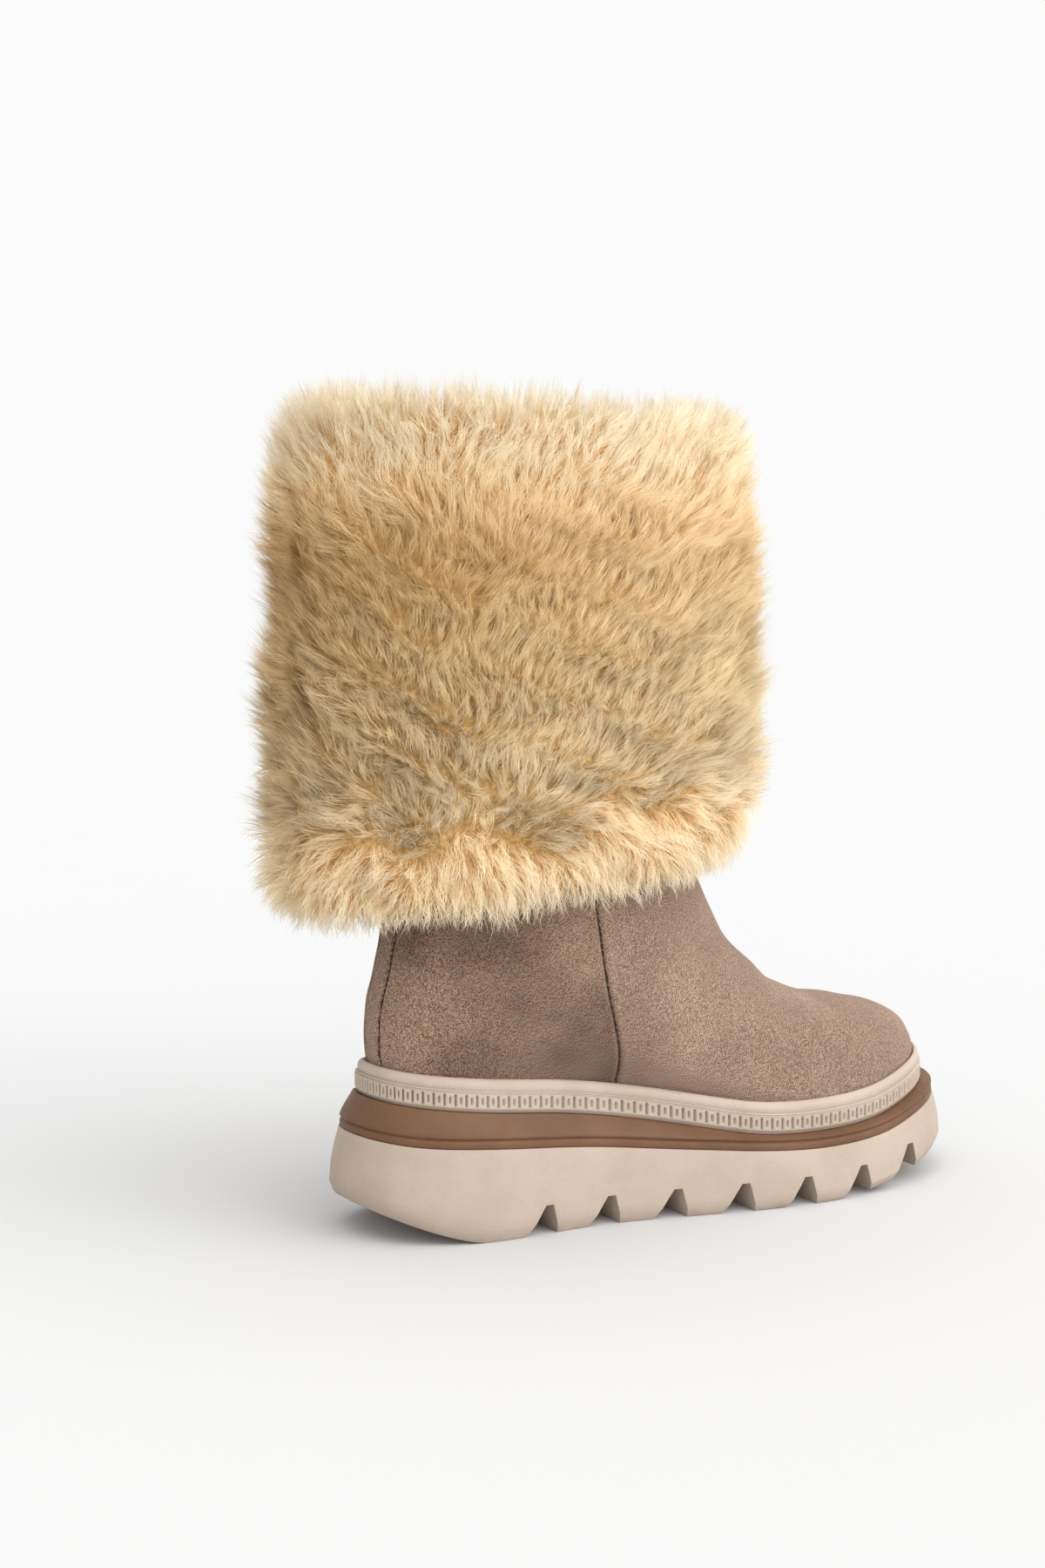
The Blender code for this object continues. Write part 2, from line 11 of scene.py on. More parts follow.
import bmesh
import bpy
import numpy as np
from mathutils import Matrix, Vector


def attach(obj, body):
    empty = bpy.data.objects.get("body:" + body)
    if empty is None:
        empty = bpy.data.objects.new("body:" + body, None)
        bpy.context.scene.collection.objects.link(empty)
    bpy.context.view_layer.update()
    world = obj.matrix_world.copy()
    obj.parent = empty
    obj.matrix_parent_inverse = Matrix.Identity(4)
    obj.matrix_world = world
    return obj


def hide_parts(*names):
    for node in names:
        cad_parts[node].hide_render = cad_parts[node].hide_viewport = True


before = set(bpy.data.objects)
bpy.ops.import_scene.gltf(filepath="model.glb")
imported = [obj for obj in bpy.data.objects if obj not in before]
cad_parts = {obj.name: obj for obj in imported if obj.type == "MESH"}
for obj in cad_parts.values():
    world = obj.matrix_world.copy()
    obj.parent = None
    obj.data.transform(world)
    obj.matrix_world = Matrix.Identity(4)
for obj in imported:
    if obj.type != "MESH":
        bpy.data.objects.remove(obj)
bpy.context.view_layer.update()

# Sole, as in the solids
SOLE_LENGTH = 0.289
BALL_WIDTH = 0.1035
HEEL_WIDTH = 0.079
HEEL_SETBACK = 0.054
OUTSOLE_AT_HEEL = 0.042
OUTSOLE_AT_BALL = 0.0223
MIDSOLE_AT_HEEL = 0.0155
MIDSOLE_AT_BALL = 0.0056
HEEL_BEVEL_LENGTH = 0.046
HEEL_BEVEL_RISE = 0.016
HEEL_BEVEL_CURVE = 1.4
TOE_SPRING_LENGTH = 0.088
TOE_SPRING_RISE = 0.016
TOE_SPRING_CURVE = 1.5
OUTSOLE_FLARE = 0.0035
MIDSOLE_FLARE = 0.0050
WELT_SETBACK = 0.0008
TREAD_CORNER = 0.0018
MIDSOLE_LINE_HEIGHT = 0.0033
MIDSOLE_LINE_DEPTH = 0.0008
MIDSOLE_LINE_WIDTH = 0.0006
MIDSOLE_CORNER = (0.0003, 0.0010)
MIDSOLE_CURVE = 1.1
NOTCH_FIRST = 0.063
NOTCH_PITCH = 0.029
NOTCH_COUNT = 7
NOTCH_FOOT = 0.0148
NOTCH_TOP = 0.0035
NOTCH_HEIGHT = 0.012
NOTCH_REACH = 0.026
NOTCH_LEAN = 0.76
NOTCH_OVERRUN = 0.25
CHANNEL_DEPTH = 0.005
CHANNEL_RAMP = 0.004
EDGE_ROUND = 0.0007

# Welt
BAND_HEIGHT = 0.0080
BEAD_HEIGHT = 0.0053
RIB_PITCH = 0.0047
RIB_DEPTH = 0.0012
RIB_HALF_WIDTH = 0.00052
LONG_RIB = 0.0050
SHORT_RIB = 0.0030
SHORT_RIB_SHARE = 0.85
RIB_MIDDLE = 0.0044
RIB_FLOOR = 0.45
RIB_WALL = 0.65
BEAD_SETBACK = 0.0016
BEAD_WIDTH = 0.0024
TRAY_DEPTH = 0.0063
BAND_UNDERCUT = 0.0011
UNDERCUT_RISE = 0.0019
BEAD_LIP = 0.0006
TRAY_LIP = 0.0008
BEAD_MIDDLE = 0.42
BEAD_ROUND = 0.58
BAND_LIFTS = (
    0.0, 0.0004, 0.0010, 0.0014, 0.0018, 0.0021, 0.0024, 0.0028, 0.0032, 0.0044,
    0.0056, 0.0060, 0.0064, 0.0067, 0.0070, 0.0074,
)
BAND_LINES = (
    # inset, height
    (0.0001, 0.0076),
    (0.0006, 0.0079),
    (0.0006, 0.0081),
    (0.0002, 0.0083),
    (0.0004, 0.0086),
)

# Upper
WALL = 0.0025
ANKLE_HEIGHT = 0.150
ANKLE_LENGTH = 0.130
ANKLE_WIDTH = 0.084
ANKLE_BACK = 0.0245
SHAFT_RISE = 0.155
SHAFT_LENGTH = 0.155
SHAFT_WIDTH = 0.088
SHAFT_BACK = 0.004
SHAFT_SWING = 0.5
OVAL_FULLNESS = 2 / 2.2
TOE_HALF_TURN = 0.04
TOE_FADE = 0.22
HEEL_FADE = 0.16
INSOLE_THICKNESS = 0.0040
LINING_PILE = 0.0030
SEAM_DEPTH = 0.0011
SEAM_HALF_WIDTH = 0.00068
SEAM_ROLL = 0.0003
BACK_STRIP = 0.012
ROLL_PLACE = 3.4 * SEAM_HALF_WIDTH
ROLL_HALF_WIDTH = 2.2 * SEAM_HALF_WIDTH
SEAM_CROWD = 5.0
SEAM_CROWD_REACH = 0.006
SEAM_REACHES = (0.022, 0.11, 0.11, 0.022)
PANEL_EDGE = 0.0006
STRIP_EDGE = 0.0004
STRIP_PALER = 0.75
SUEDE_UNEVEN = 0.0001
LINING_UNEVEN = 0.0007
LEVEL_STEP = 0.01

# Cuff
PILE = 0.0225
CREST_HEIGHT = 0.029
CREST_WAVE = 0.0012
BACK_PUFF = 0.0055
PUFF_HALF_TURN = 0.13
BACK_FURROW = 0.006
FURROW_HALF_TURN = 0.012
BROAD_LUMPS = 0.0010
FINE_LUMPS = 0.0014
CUFF_DROP = 0.168
HEM_TILT = 0.008
HEM_CLEAR_BACK = 0.0325
HEM_CLEAR_FRONT = 0.0070
HEM_CLEAR_SIDE = 0.005
INNER_DEPTH = 0.040
GAP = 0.0003
SEAT = 0.0001

# Wool
LOCK_SPACING = 0.0029
STRAND_LENGTH = 0.0130
STRAND_WIDTH = 0.00024
STRAND_TAPER = 0.45
ROOT_SINK = 0.0015
CRIMP = 0.0005
HEM_CRIMP = 0.0009
STRAY_SHARE = 0.05
STRAY_DRIFT = 0.0024
LOCK_DRIFT = 0.0012
DRIFT_LIMIT = 1.8
STRAND_GLOW = 0.44
SHADING_LIFT = 0.85

# How the locks are combed: sideways over the boot, and unevenly
SWEEP_TURN = 0.18
SWEEP_LEAST = 0.08
SWEEP_FORWARD = 0.20
SWEEP_BACKWARD = 0.44
PARTING = 1.2
PARTING_HALF_TURN = 0.022
PATCHY = 0.30
HEM_SWIRL = 0.55
LEAN_UNEVEN = 0.14
SWEEP_UNEVEN = 0.20
ROOT_UNEVEN = 7
TIP_UNEVEN = 9
WILD_TILT = 22
LOCK_CURL = 0.55
LENGTH_UNEVEN = 0.12
LOCK_PINCH = 0.72
PINCH_UNEVEN = 0.18

# Places along the pelt, in shares of it, and how far round them each change reaches
CREST_AT = 0.25
CREST_REACH = 0.08
SWEEP_FROM = 0.26
SWEEP_FADE = 0.10
HANG_FROM = 0.30
HANG_FADE = 0.08
PARTING_FADE = 0.10
LIFT_FADE = 0.45
PUFF_AT = 0.34
PUFF_REACH = 0.10
CRIMP_FROM = 0.82
CRIMP_FADE = 0.08
SWIRL_AT = 0.84
SWIRL_REACH = 0.09

# Shade of the strands, and their chart of shades
FRONT_FROM = 0.14
FRONT_FADE = 0.16
# Paler towards the front and sides: partly painted light where the toe-side light falls, partly the wool's
# own tone
FRONT_PALER_AND_LIT = 0.22
# Tone pulled towards the darker root below the crest, more at the back: painted shade, partly the wool's own
# deeper colour
BACK_DEEPER_AND_SHADED = 1.0
LOCK_PALER = 0.07
PALE_UNEVEN = 0.06
TIP_SHADE_UNEVEN = 0.08
CHART_EDGE = 0.02
CHART_SIZE = 0.95
CHART_WIDTH = 0.01

# Stations along a strand, and those at which each kind of strand has a joint
STATIONS = (0.0, 0.28, 0.52, 0.76, 1.0)
CURLY_STRAND = (0, 1, 2, 3, 4)
LONG_STRAND = (0, 2, 3, 4)
SHORT_STRAND = (0, 2, 4)

# Suede
NAP_SCALE = 2200.0
NAP_STRETCH = (1.0, 1.0, 0.66)
# Shift of the nap toward the light, and the span of the difference: painted light and shade on the nap's
# clumps
NAP_LIGHT_SHIFT = (0.00014, 0.00016, -0.00020)
NAP_PAINTED_SHADING = 0.16

# Angles in degrees from which an edge is sharp, or rounded where the notches are cut
ROUNDED_FROM = 32
OUTSOLE_SHARP = 40
MIDSOLE_SHARP = 50
BEAD_SHARP = 70
BAND_SHARP = 75
SMOOTH = 180

# Columns of the meshes, once round, and points of the sole's outline
OUTSOLE_COLUMNS = 288
MIDSOLE_COLUMNS = 512
BEAD_COLUMNS = 480
INSOLE_COLUMNS = 192
UPPER_COLUMNS = 412
LINING_COLUMNS = 160
PELT_COLUMNS = 192
OUTLINE_POINTS = 2048

# Camera and light, for a frame of 1200 by 1800 pixels
CAMERA_PLACE = (-0.5288, -1.0058, 0.3013)
CAMERA_TARGET = (0.0287, 0.0, 0.1755)
CAMERA_LENS = 65.83
CAMERA_SENSOR = 36.0
SURROUND = 0.88
BACKDROP = 0.965
FLOOR_HALF = 14.0
Light = namedtuple("Light", "name toward power softness")
LIGHTS = (
    Light("light_above", (0.05, -0.30, 1.0), 1.65, 80),
    Light("light_toe", (0.90, -1.0, 0.40), 1.55, 70),
    Light("light_front", (0.10, -1.0, 0.20), 1.20, 80),
)

MIDSOLE_INSET = OUTSOLE_FLARE + GAP
WELT_INSET = MIDSOLE_INSET + MIDSOLE_FLARE + WELT_SETBACK
BEAD_INSET = WELT_INSET + BEAD_SETBACK
TRAY_INSET = BEAD_INSET + BEAD_WIDTH
UPPER_INSET = TRAY_INSET + GAP
LINING_INSET = UPPER_INSET + WALL
SHAFT_TOP = ANKLE_HEIGHT + SHAFT_RISE
HEM_HEIGHT = SHAFT_TOP - CUFF_DROP
INNER_SHARE = 1 - INNER_DEPTH / SHAFT_RISE

# Outline of the tread, once round from the back of the heel, as in the solids.
Plan = namedtuple("Plan", "along across width")
PLAN = (
    Plan(0.000, 0.00, HEEL_WIDTH),
    Plan(0.031, -0.63, HEEL_WIDTH),
    Plan(0.139, -1.00, HEEL_WIDTH),
    Plan(0.260, -1.00, HEEL_WIDTH),
    Plan(0.382, -1.00, HEEL_WIDTH),
    Plan(0.521, -0.91, BALL_WIDTH),
    Plan(0.642, -1.00, BALL_WIDTH),
    Plan(0.781, -0.95, BALL_WIDTH),
    Plan(0.910, -0.68, BALL_WIDTH),
    Plan(0.986, -0.19, BALL_WIDTH),
    Plan(0.997, 0.27, BALL_WIDTH),
    Plan(0.955, 0.68, BALL_WIDTH),
    Plan(0.868, 0.93, BALL_WIDTH),
    Plan(0.736, 1.00, BALL_WIDTH),
    Plan(0.573, 0.87, BALL_WIDTH),
    Plan(0.417, 0.99, HEEL_WIDTH),
    Plan(0.278, 0.99, HEEL_WIDTH),
    Plan(0.139, 1.00, HEEL_WIDTH),
    Plan(0.031, 0.63, HEEL_WIDTH),
)

# Thickness of the lower layers and the strength of each inward step, as in the solids.
Layer = namedtuple("Layer", "along outsole midsole step")
LAYERS = (
    Layer(0.00, 1.00, 1.00, 1.07),
    Layer(0.06, 0.86, 0.93, 1.05),
    Layer(0.17, 0.72, 0.79, 1.00),
    Layer(0.31, 0.52, 0.69, 1.00),
    Layer(0.45, 0.28, 0.45, 1.00),
    Layer(0.52, 0.18, 0.22, 1.00),
    Layer(0.59, 0.08, 0.02, 1.00),
    Layer(0.70, 0.00, 0.00, 1.00),
    Layer(0.80, 0.08, 0.00, 0.98),
    Layer(0.90, 0.38, 0.00, 0.92),
    Layer(1.00, 0.60, 0.04, 0.80),
)

# Outsole's wall from the tread up: share of its height and inset.
Wall = namedtuple("Wall", "along inset")
OUTSOLE_WALL = (
    Wall(0.00, TREAD_CORNER),
    Wall(0.06, TREAD_CORNER * 0.2),
    Wall(0.25, 0.0),
    Wall(0.65, OUTSOLE_FLARE * 0.35),
    Wall(1.00, OUTSOLE_FLARE),
)

# Rings of the foot from the sole to the ankle, as in the solids.
Ring = namedtuple("Ring", "along toe_in toe_up side_in side_up heel_in heel_up")
RINGS = (
    Ring(0.0, 0.000, 0.000, 0.00, 0.00, 0.00, 0.00),
    Ring(0.1, 0.015, 0.060, 0.14, 0.05, -0.10, 0.06),
    Ring(0.2, 0.060, 0.132, 0.31, 0.12, -0.12, 0.14),
    Ring(0.3, 0.155, 0.195, 0.46, 0.20, -0.08, 0.23),
    Ring(0.4, 0.290, 0.238, 0.58, 0.29, 0.04, 0.32),
    Ring(0.5, 0.440, 0.268, 0.68, 0.38, 0.26, 0.41),
    Ring(0.6, 0.585, 0.335, 0.77, 0.48, 0.46, 0.51),
    Ring(0.7, 0.720, 0.446, 0.85, 0.59, 0.65, 0.61),
    Ring(0.8, 0.848, 0.623, 0.92, 0.72, 0.83, 0.73),
    Ring(0.9, 0.930, 0.790, 0.97, 0.86, 0.94, 0.86),
    Ring(1.0, 1.000, 1.000, 1.00, 1.00, 1.00, 1.00),
)

# Footbed's edge, from the tray's floor up: inset, and share of its thickness.
INSOLE_EDGE = (
    (0.0, 0.0),
    (0.0, 0.55),
    (0.0006, 0.85),
    (0.0016, 1.0),
    (0.006, 1.02),
    (0.014, 1.0),
)

# Side seam from the welt up: height, and place along from the back of the sole.
Seam = namedtuple("Seam", "along place")
SIDE_SEAM = (
    Seam(0.050, 0.1125),
    Seam(0.058, 0.1110),
    Seam(0.100, 0.0990),
    Seam(0.129, 0.0935),
    Seam(0.180, 0.0875),
    Seam(0.305, 0.0805),
)

# Soft folds of the suede: middle and half-length in turns and in levels of the upper (1 is the ankle),
# how much the fold climbs with the turn, and its depth, negative for a ridge.
Fold = namedtuple("Fold", "turn level reach width climb depth")
FOLDS = (
    Fold(0.500, 0.780, 0.110, 0.040, 0.0, 0.0011),
    Fold(0.500, 0.700, 0.130, 0.035, 0.0, -0.0009),
    Fold(0.440, 0.610, 0.060, 0.030, 0.5, 0.0008),
    Fold(0.560, 0.620, 0.060, 0.030, -0.5, 0.0008),
    Fold(0.350, 0.800, 0.045, 0.050, -0.9, 0.0008),
    Fold(0.650, 0.790, 0.045, 0.050, 0.9, 0.0008),
    Fold(0.120, 0.720, 0.060, 0.050, 0.6, 0.0008),
    Fold(0.880, 0.730, 0.060, 0.050, -0.6, 0.0008),
    Fold(0.470, 0.330, 0.050, 0.030, 0.3, 0.0005),
    Fold(0.545, 0.360, 0.050, 0.030, -0.4, 0.0005),
)

# Surface that the wool grows from, inside the mouth first, then over the crest and down to the hem:
# share of the cuff's drop, share of the crest's rise, share of the pile, and 1 where it hangs outside.
Pelt = namedtuple("Pelt", "along drop rise spread outside")
PELT = (
    Pelt(0.0, 0.24, 0.00, -0.24, 0.0),
    Pelt(1.0, 0.13, 0.00, -0.26, 0.0),
    Pelt(2.0, 0.03, 0.00, -0.24, 0.0),
    Pelt(3.0, 0.00, 0.24, -0.12, 0.5),
    Pelt(4.0, 0.00, 0.44, 0.12, 1.0),
    Pelt(5.0, 0.00, 0.24, 0.50, 1.0),
    Pelt(6.0, 0.05, 0.00, 0.66, 1.0),
    Pelt(7.0, 0.11, 0.00, 0.72, 1.0),
    Pelt(8.0, 0.22, 0.00, 0.78, 1.0),
    Pelt(9.0, 0.40, 0.00, 0.83, 1.0),
    Pelt(10.0, 0.60, 0.00, 0.83, 1.0),
    Pelt(11.0, 0.80, 0.00, 0.78, 1.0),
    Pelt(12.0, 0.92, 0.00, 0.56, 1.0),
    Pelt(13.0, 0.975, 0.00, 0.26, 1.0),
    Pelt(14.0, 0.970, 0.00, 0.05, 1.0),
)

# Height of the crest's outline, once round from the middle of the back.
Crest = namedtuple("Crest", "along rise")
CREST = (
    Crest(0.00, -0.0005),
    Crest(0.08, 0.0025),
    Crest(0.15, 0.0040),
    Crest(0.22, 0.0030),
    Crest(0.29, -0.0015),
    Crest(0.36, -0.0030),
    Crest(0.44, -0.0035),
    Crest(0.56, -0.0030),
    Crest(0.68, -0.0010),
    Crest(0.80, 0.0030),
    Crest(0.92, 0.0025),
    Crest(1.00, -0.0005),
)

# How the strands lie, by the distance run along the pelt from inside the mouth (in shares of it): lean
# towards the hem (negative is up the cuff), tilt from upright at root and tip in degrees, length, how
# pale the wool is (partly painted light, palest on the crest that faces the light) and how deep its
# colour (painted shade below the crest, with the wool's own darker roots).
Nap = namedtuple("Nap", "along lean root tip length pale deep")
NAP = (
    Nap(0.00, 0.80, 35, 70, 0.70, 0.85, 0.00),
    Nap(0.12, 0.70, 30, 62, 0.85, 0.90, 0.00),
    Nap(0.19, 0.40, 12, 35, 1.30, 1.00, 0.00),
    Nap(0.24, 0.10, 5, 25, 1.50, 1.00, 0.00),
    Nap(0.28, -0.45, 18, 46, 1.30, 1.00, 0.00),
    Nap(0.32, -0.85, 30, 64, 1.15, 0.95, 0.00),
    Nap(0.37, -0.95, 36, 72, 1.10, 0.58, 0.08),
    Nap(0.45, -0.95, 34, 72, 1.05, 0.24, 0.23),
    Nap(0.60, -0.90, 32, 72, 1.05, 0.19, 0.15),
    Nap(0.75, -0.75, 30, 68, 1.10, 0.27, 0.05),
    Nap(0.84, -0.35, 25, 62, 1.10, 0.45, 0.00),
    Nap(0.90, 0.45, 25, 62, 1.10, 0.80, 0.00),
    Nap(0.95, 0.90, 25, 65, 1.05, 0.92, 0.00),
    Nap(1.00, 0.80, 20, 55, 0.80, 0.95, 0.00),
)

# Every lock of wool: the pattern's shape, and a row for each value of the locks.
Locks = namedtuple("Locks", "shape share run place normal flow curve tone pinch")

# Groups of strands: count, where along the pelt and round the boot they grow, their joints and seed.
Group = namedtuple("Group", "name count runs shares joints seed")
GROUPS = (
    Group("wool_mouth", 15000, (0.0, 0.17), (0, 1), SHORT_STRAND, 101),
    Group("wool_crest", 38000, (0.17, 0.37), (0, 1), LONG_STRAND, 102),
    Group("wool_outer_side", 63000, (0.37, 0.86), (0, 0.5), SHORT_STRAND, 103),
    Group("wool_inner_side", 42000, (0.37, 0.86), (0.5, 1.0), SHORT_STRAND, 104),
    Group("wool_hem", 22000, (0.86, 1.0), (0, 1), CURLY_STRAND, 105),
)


def smooth_value(rows, column, at):
    """Reads one column of a table at any place along it, as a smooth curve through the rows."""
    xs = np.array([row.along for row in rows])
    ys = np.array([getattr(row, column) for row in rows])
    slopes = np.gradient(ys, xs)
    at = np.clip(at, xs[0], xs[-1])
    index = np.clip(np.searchsorted(xs, at, side="right") - 1, 0, len(xs) - 2)
    width = xs[index + 1] - xs[index]
    t = (at - xs[index]) / width
    bend = t * t * (3 - 2 * t)
    leave = t * (1 - t) ** 2 * width * slopes[index]
    arrive = t * t * (t - 1) * width * slopes[index + 1]
    return ys[index] * (1 - bend) + ys[index + 1] * bend + leave + arrive


def ease(value):
    value = np.clip(value, 0.0, 1.0)
    return value * value * (3 - 2 * value)


def bell(value):
    return np.exp(-value * value)


def unit(vectors):
    return vectors / np.maximum(np.linalg.norm(vectors, axis=-1, keepdims=True), 1e-12)


def steps_round(count):
    return np.arange(count) / count


def chord(values, axis=0):
    """From each value's last neighbour to its next, right round."""
    return np.roll(values, -1, axis) - np.roll(values, 1, axis)


def off_back(turn):
    """Turns away from the middle of the back, 0 to 0.5."""
    return np.minimum(turn % 1.0, 1 - turn % 1.0)


def run_along(path):
    """Length run along an open path, at each of its points."""
    return np.concatenate(([0.0], np.cumsum(np.linalg.norm(np.diff(path, axis=0), axis=1))))


def ripple(turn, run, seed, fineness, waves=9):
    """A smooth uneven value of about -1 to 1 over the boot, the same each time."""
    draw = np.random.default_rng(seed)
    total = 0.0
    for _ in range(waves):
        around = draw.integers(1, fineness + 1) * draw.choice((-1, 1))
        along = draw.uniform(-fineness, fineness)
        total = total + np.sin(2 * np.pi * (around * turn + along * run + draw.random()))
    return total / waves ** 0.5


def closed_spline(points, samples_per_span):
    """Samples a smooth closed curve through the points."""
    ahead = np.roll(points, -1, axis=0)
    behind = np.roll(points, 1, axis=0)
    span = np.linalg.norm(ahead - points, axis=1) ** 0.5
    last = np.roll(span, 1)
    count = len(points)
    bends = np.diag(2 * (span + last))
    for i in range(count):
        bends[i, i - 1] += last[i]
        bends[i, (i + 1) % count] += span[i]
    pull = 6 * ((ahead - points) / span[:, None] - (points - behind) / last[:, None])
    curl = np.linalg.solve(bends, pull)
    out = []
    for i in range(count):
        j = (i + 1) % count
        for b in np.arange(samples_per_span) / samples_per_span:
            a = 1 - b
            near = a * points[i] + b * points[j]
            out.append(near + ((a ** 3 - a) * curl[i] + (b ** 3 - b) * curl[j]) * span[i] ** 2 / 6)
    return np.array(out)


def even_points(path, count):
    """Places count + 1 points evenly along an open path."""
    run = run_along(path)
    marks = np.linspace(0.0, run[-1], count + 1)
    return np.stack([np.interp(marks, run, path[:, axis]) for axis in (0, 1)], axis=1)


@lru_cache(maxsize=None)
def outline():
    """The sole's outline as columns x, y and the inward step in x and y."""
    corners = [(row.along * SOLE_LENGTH, row.across * row.width / 2) for row in PLAN]
    curve = closed_spline(np.array(corners), 160)
    toe = int(np.argmax(curve[:, 0]))
    outer = even_points(curve[:toe + 1], OUTLINE_POINTS // 2)
    inner = even_points(np.vstack((curve[toe:], curve[:1])), OUTLINE_POINTS // 2)
    loop = np.vstack((outer[:-1], inner[:-1]))
    along = unit(chord(loop))
    inward = np.stack((-along[:, 1], along[:, 0]), axis=1)
    step = smooth_value(LAYERS, "step", loop[:, 0] / SOLE_LENGTH)
    return np.column_stack((loop, inward * step[:, None]))


def plan(turn, inset):
    """The sole's outline moved inward, at any turns, measured from the back of the sole."""
    marks = np.arange(OUTLINE_POINTS + 1) / OUTLINE_POINTS
    x, y, step_x, step_y = (np.interp(turn % 1.0, marks, np.append(c, c[0])) for c in outline().T)
    return x + inset * step_x, y + inset * step_y


def tread_height(x):
    """Underside of the sole: a bevel at the heel and a spring at the toe."""
    bevel = np.clip(1 - x / HEEL_BEVEL_LENGTH, 0, 1) ** HEEL_BEVEL_CURVE
    spring_start = SOLE_LENGTH - TOE_SPRING_LENGTH
    spring = np.clip((x - spring_start) / TOE_SPRING_LENGTH, 0, 1) ** TOE_SPRING_CURVE
    return bevel * HEEL_BEVEL_RISE + spring * TOE_SPRING_RISE


def outsole_top(x):
    share = smooth_value(LAYERS, "outsole", x / SOLE_LENGTH)
    return OUTSOLE_AT_BALL + share * (OUTSOLE_AT_HEEL - OUTSOLE_AT_BALL)


def midsole_top(x):
    share = smooth_value(LAYERS, "midsole", x / SOLE_LENGTH)
    return outsole_top(x) + MIDSOLE_AT_BALL + share * (MIDSOLE_AT_HEEL - MIDSOLE_AT_BALL)


def bead_top(x):
    return midsole_top(x) + BAND_HEIGHT + BEAD_HEIGHT


def tray_floor(x):
    return bead_top(x) - TRAY_DEPTH


def points_at(x, y, z):
    """Points in the frame from places measured from the back of the sole."""
    return np.stack(np.broadcast_arrays(x - HEEL_SETBACK, y, z), axis=-1)


def sole_ring(turn, inset, base, lift=0.0, top=None, share=0.0):
    """One ring of the sole: lifted from one surface, and a share of the way from there to another."""
    x, y = plan(turn, inset)
    height = base(x) + lift
    if top:
        height = height + share * (top(x) - height)
    return points_at(x, y, height)


def oval(turn, back, front, half_width, height, spread=0.0):
    """Points of a level oval with full corners."""
    cos = np.cos(2 * np.pi * turn)
    sin = np.sin(2 * np.pi * turn)
    cos = np.sign(cos) * np.abs(cos) ** OVAL_FULLNESS
    sin = np.sign(sin) * np.abs(sin) ** OVAL_FULLNESS
    x = (back + front) / 2 - ((front - back) / 2 + spread) * cos
    return points_at(x, -(half_width + spread) * sin, height)


def shaft(turn, share, spread=0.0):
    """The shaft's outside at a share of its height from the ankle to the top."""
    lean = ease(share) * SHAFT_SWING + share * (1 - SHAFT_SWING)
    back = ANKLE_BACK + lean * (SHAFT_BACK - ANKLE_BACK)
    ankle_front = ANKLE_BACK + ANKLE_LENGTH
    front = ankle_front + lean * (SHAFT_BACK + SHAFT_LENGTH - ankle_front)
    half = (ANKLE_WIDTH + lean * (SHAFT_WIDTH - ANKLE_WIDTH)) / 2
    height = ANKLE_HEIGHT + share * SHAFT_RISE
    return oval(turn, back, front, half, height, spread)


def upper_point(turn, level):
    """The upper's outside: level 0 at the welt, 1 at the ankle and 2 at the shaft's top."""
    turn, level = np.broadcast_arrays(np.asarray(turn, float), np.asarray(level, float))
    foot = np.clip(level, 0, 1)
    start = sole_ring(turn, UPPER_INSET, bead_top, GAP)
    ankle = shaft(turn, 0.0)
    toe = 1 - ease((0.5 - off_back(turn) - TOE_HALF_TURN) / TOE_FADE)
    heel = 1 - ease(off_back(turn) / HEEL_FADE)
    parts = {"toe": toe, "side": 1 - toe - heel, "heel": heel}
    inward = sum(part * smooth_value(RINGS, name + "_in", foot) for name, part in parts.items())
    rise = sum(part * smooth_value(RINGS, name + "_up", foot) for name, part in parts.items())
    point = start + inward[..., None] * (ankle - start)
    point[..., 2] = start[..., 2] + rise * (ankle[..., 2] - start[..., 2])
    above = level > 1
    point[above] = shaft(turn[above], level[above] - 1)
    return point


def inside_wall(turn, level, depth):
    """Points at a depth inside the upper's outside, at one level."""
    wall = upper_point(turn, level)
    above = upper_point(turn, min(level + LEVEL_STEP, 2.0))
    below = upper_point(turn, max(level - LEVEL_STEP, 0.0))
    inset = np.broadcast_to(depth, turn.shape)
    return wall - unit(np.cross(chord(wall), above - below)) * inset[:, None]


def new_mesh(name, points, *faces):
    """A mesh from points and from arrays of faces, where one array holds faces of one size."""
    mesh = bpy.data.meshes.new(name)
    mesh.vertices.add(len(points))
    mesh.vertices.foreach_set("co", np.asarray(points, np.float32).ravel())
    corners = np.concatenate([array.ravel() for array in faces])
    sizes = np.concatenate([np.full(len(array), array.shape[1]) for array in faces])
    starts = np.concatenate(([0], np.cumsum(sizes)[:-1]))
    mesh.loops.add(len(corners))
    mesh.loops.foreach_set("vertex_index", corners.astype(np.int32))
    mesh.polygons.add(len(sizes))
    mesh.polygons.foreach_set("loop_start", starts.astype(np.int32))
    mesh.update(calc_edges=True)
    mesh.validate()
    mesh.shade_smooth()
    return mesh


def grid_faces(rows, columns, closed_rows=False):
    """Quads of a grid whose columns, and rows where asked, run right round."""
    last = rows if closed_rows else rows - 1
    row = np.arange(last)[:, None]
    column = np.arange(columns)[None, :]
    above = (row + 1) % rows
    beside = (column + 1) % columns
    low = row * columns
    high = above * columns
    corners = (low + column, low + beside, high + beside, high + column)
    return np.stack(corners, axis=-1).reshape(-1, 4)


def cap_faces(columns, first, upward):
    """Strips across one closed ring, from its outer side to its inner side."""
    i = np.arange(1, columns // 2 - 1)
    quads = np.stack((i, i + 1, columns - i - 1, columns - i), axis=-1)
    half = columns // 2
    ends = np.array(((0, 1, columns - 1), (half - 1, half, half + 1)))
    if not upward:
        quads = quads[:, ::-1]
        ends = ends[:, ::-1]
    return first + quads, first + ends


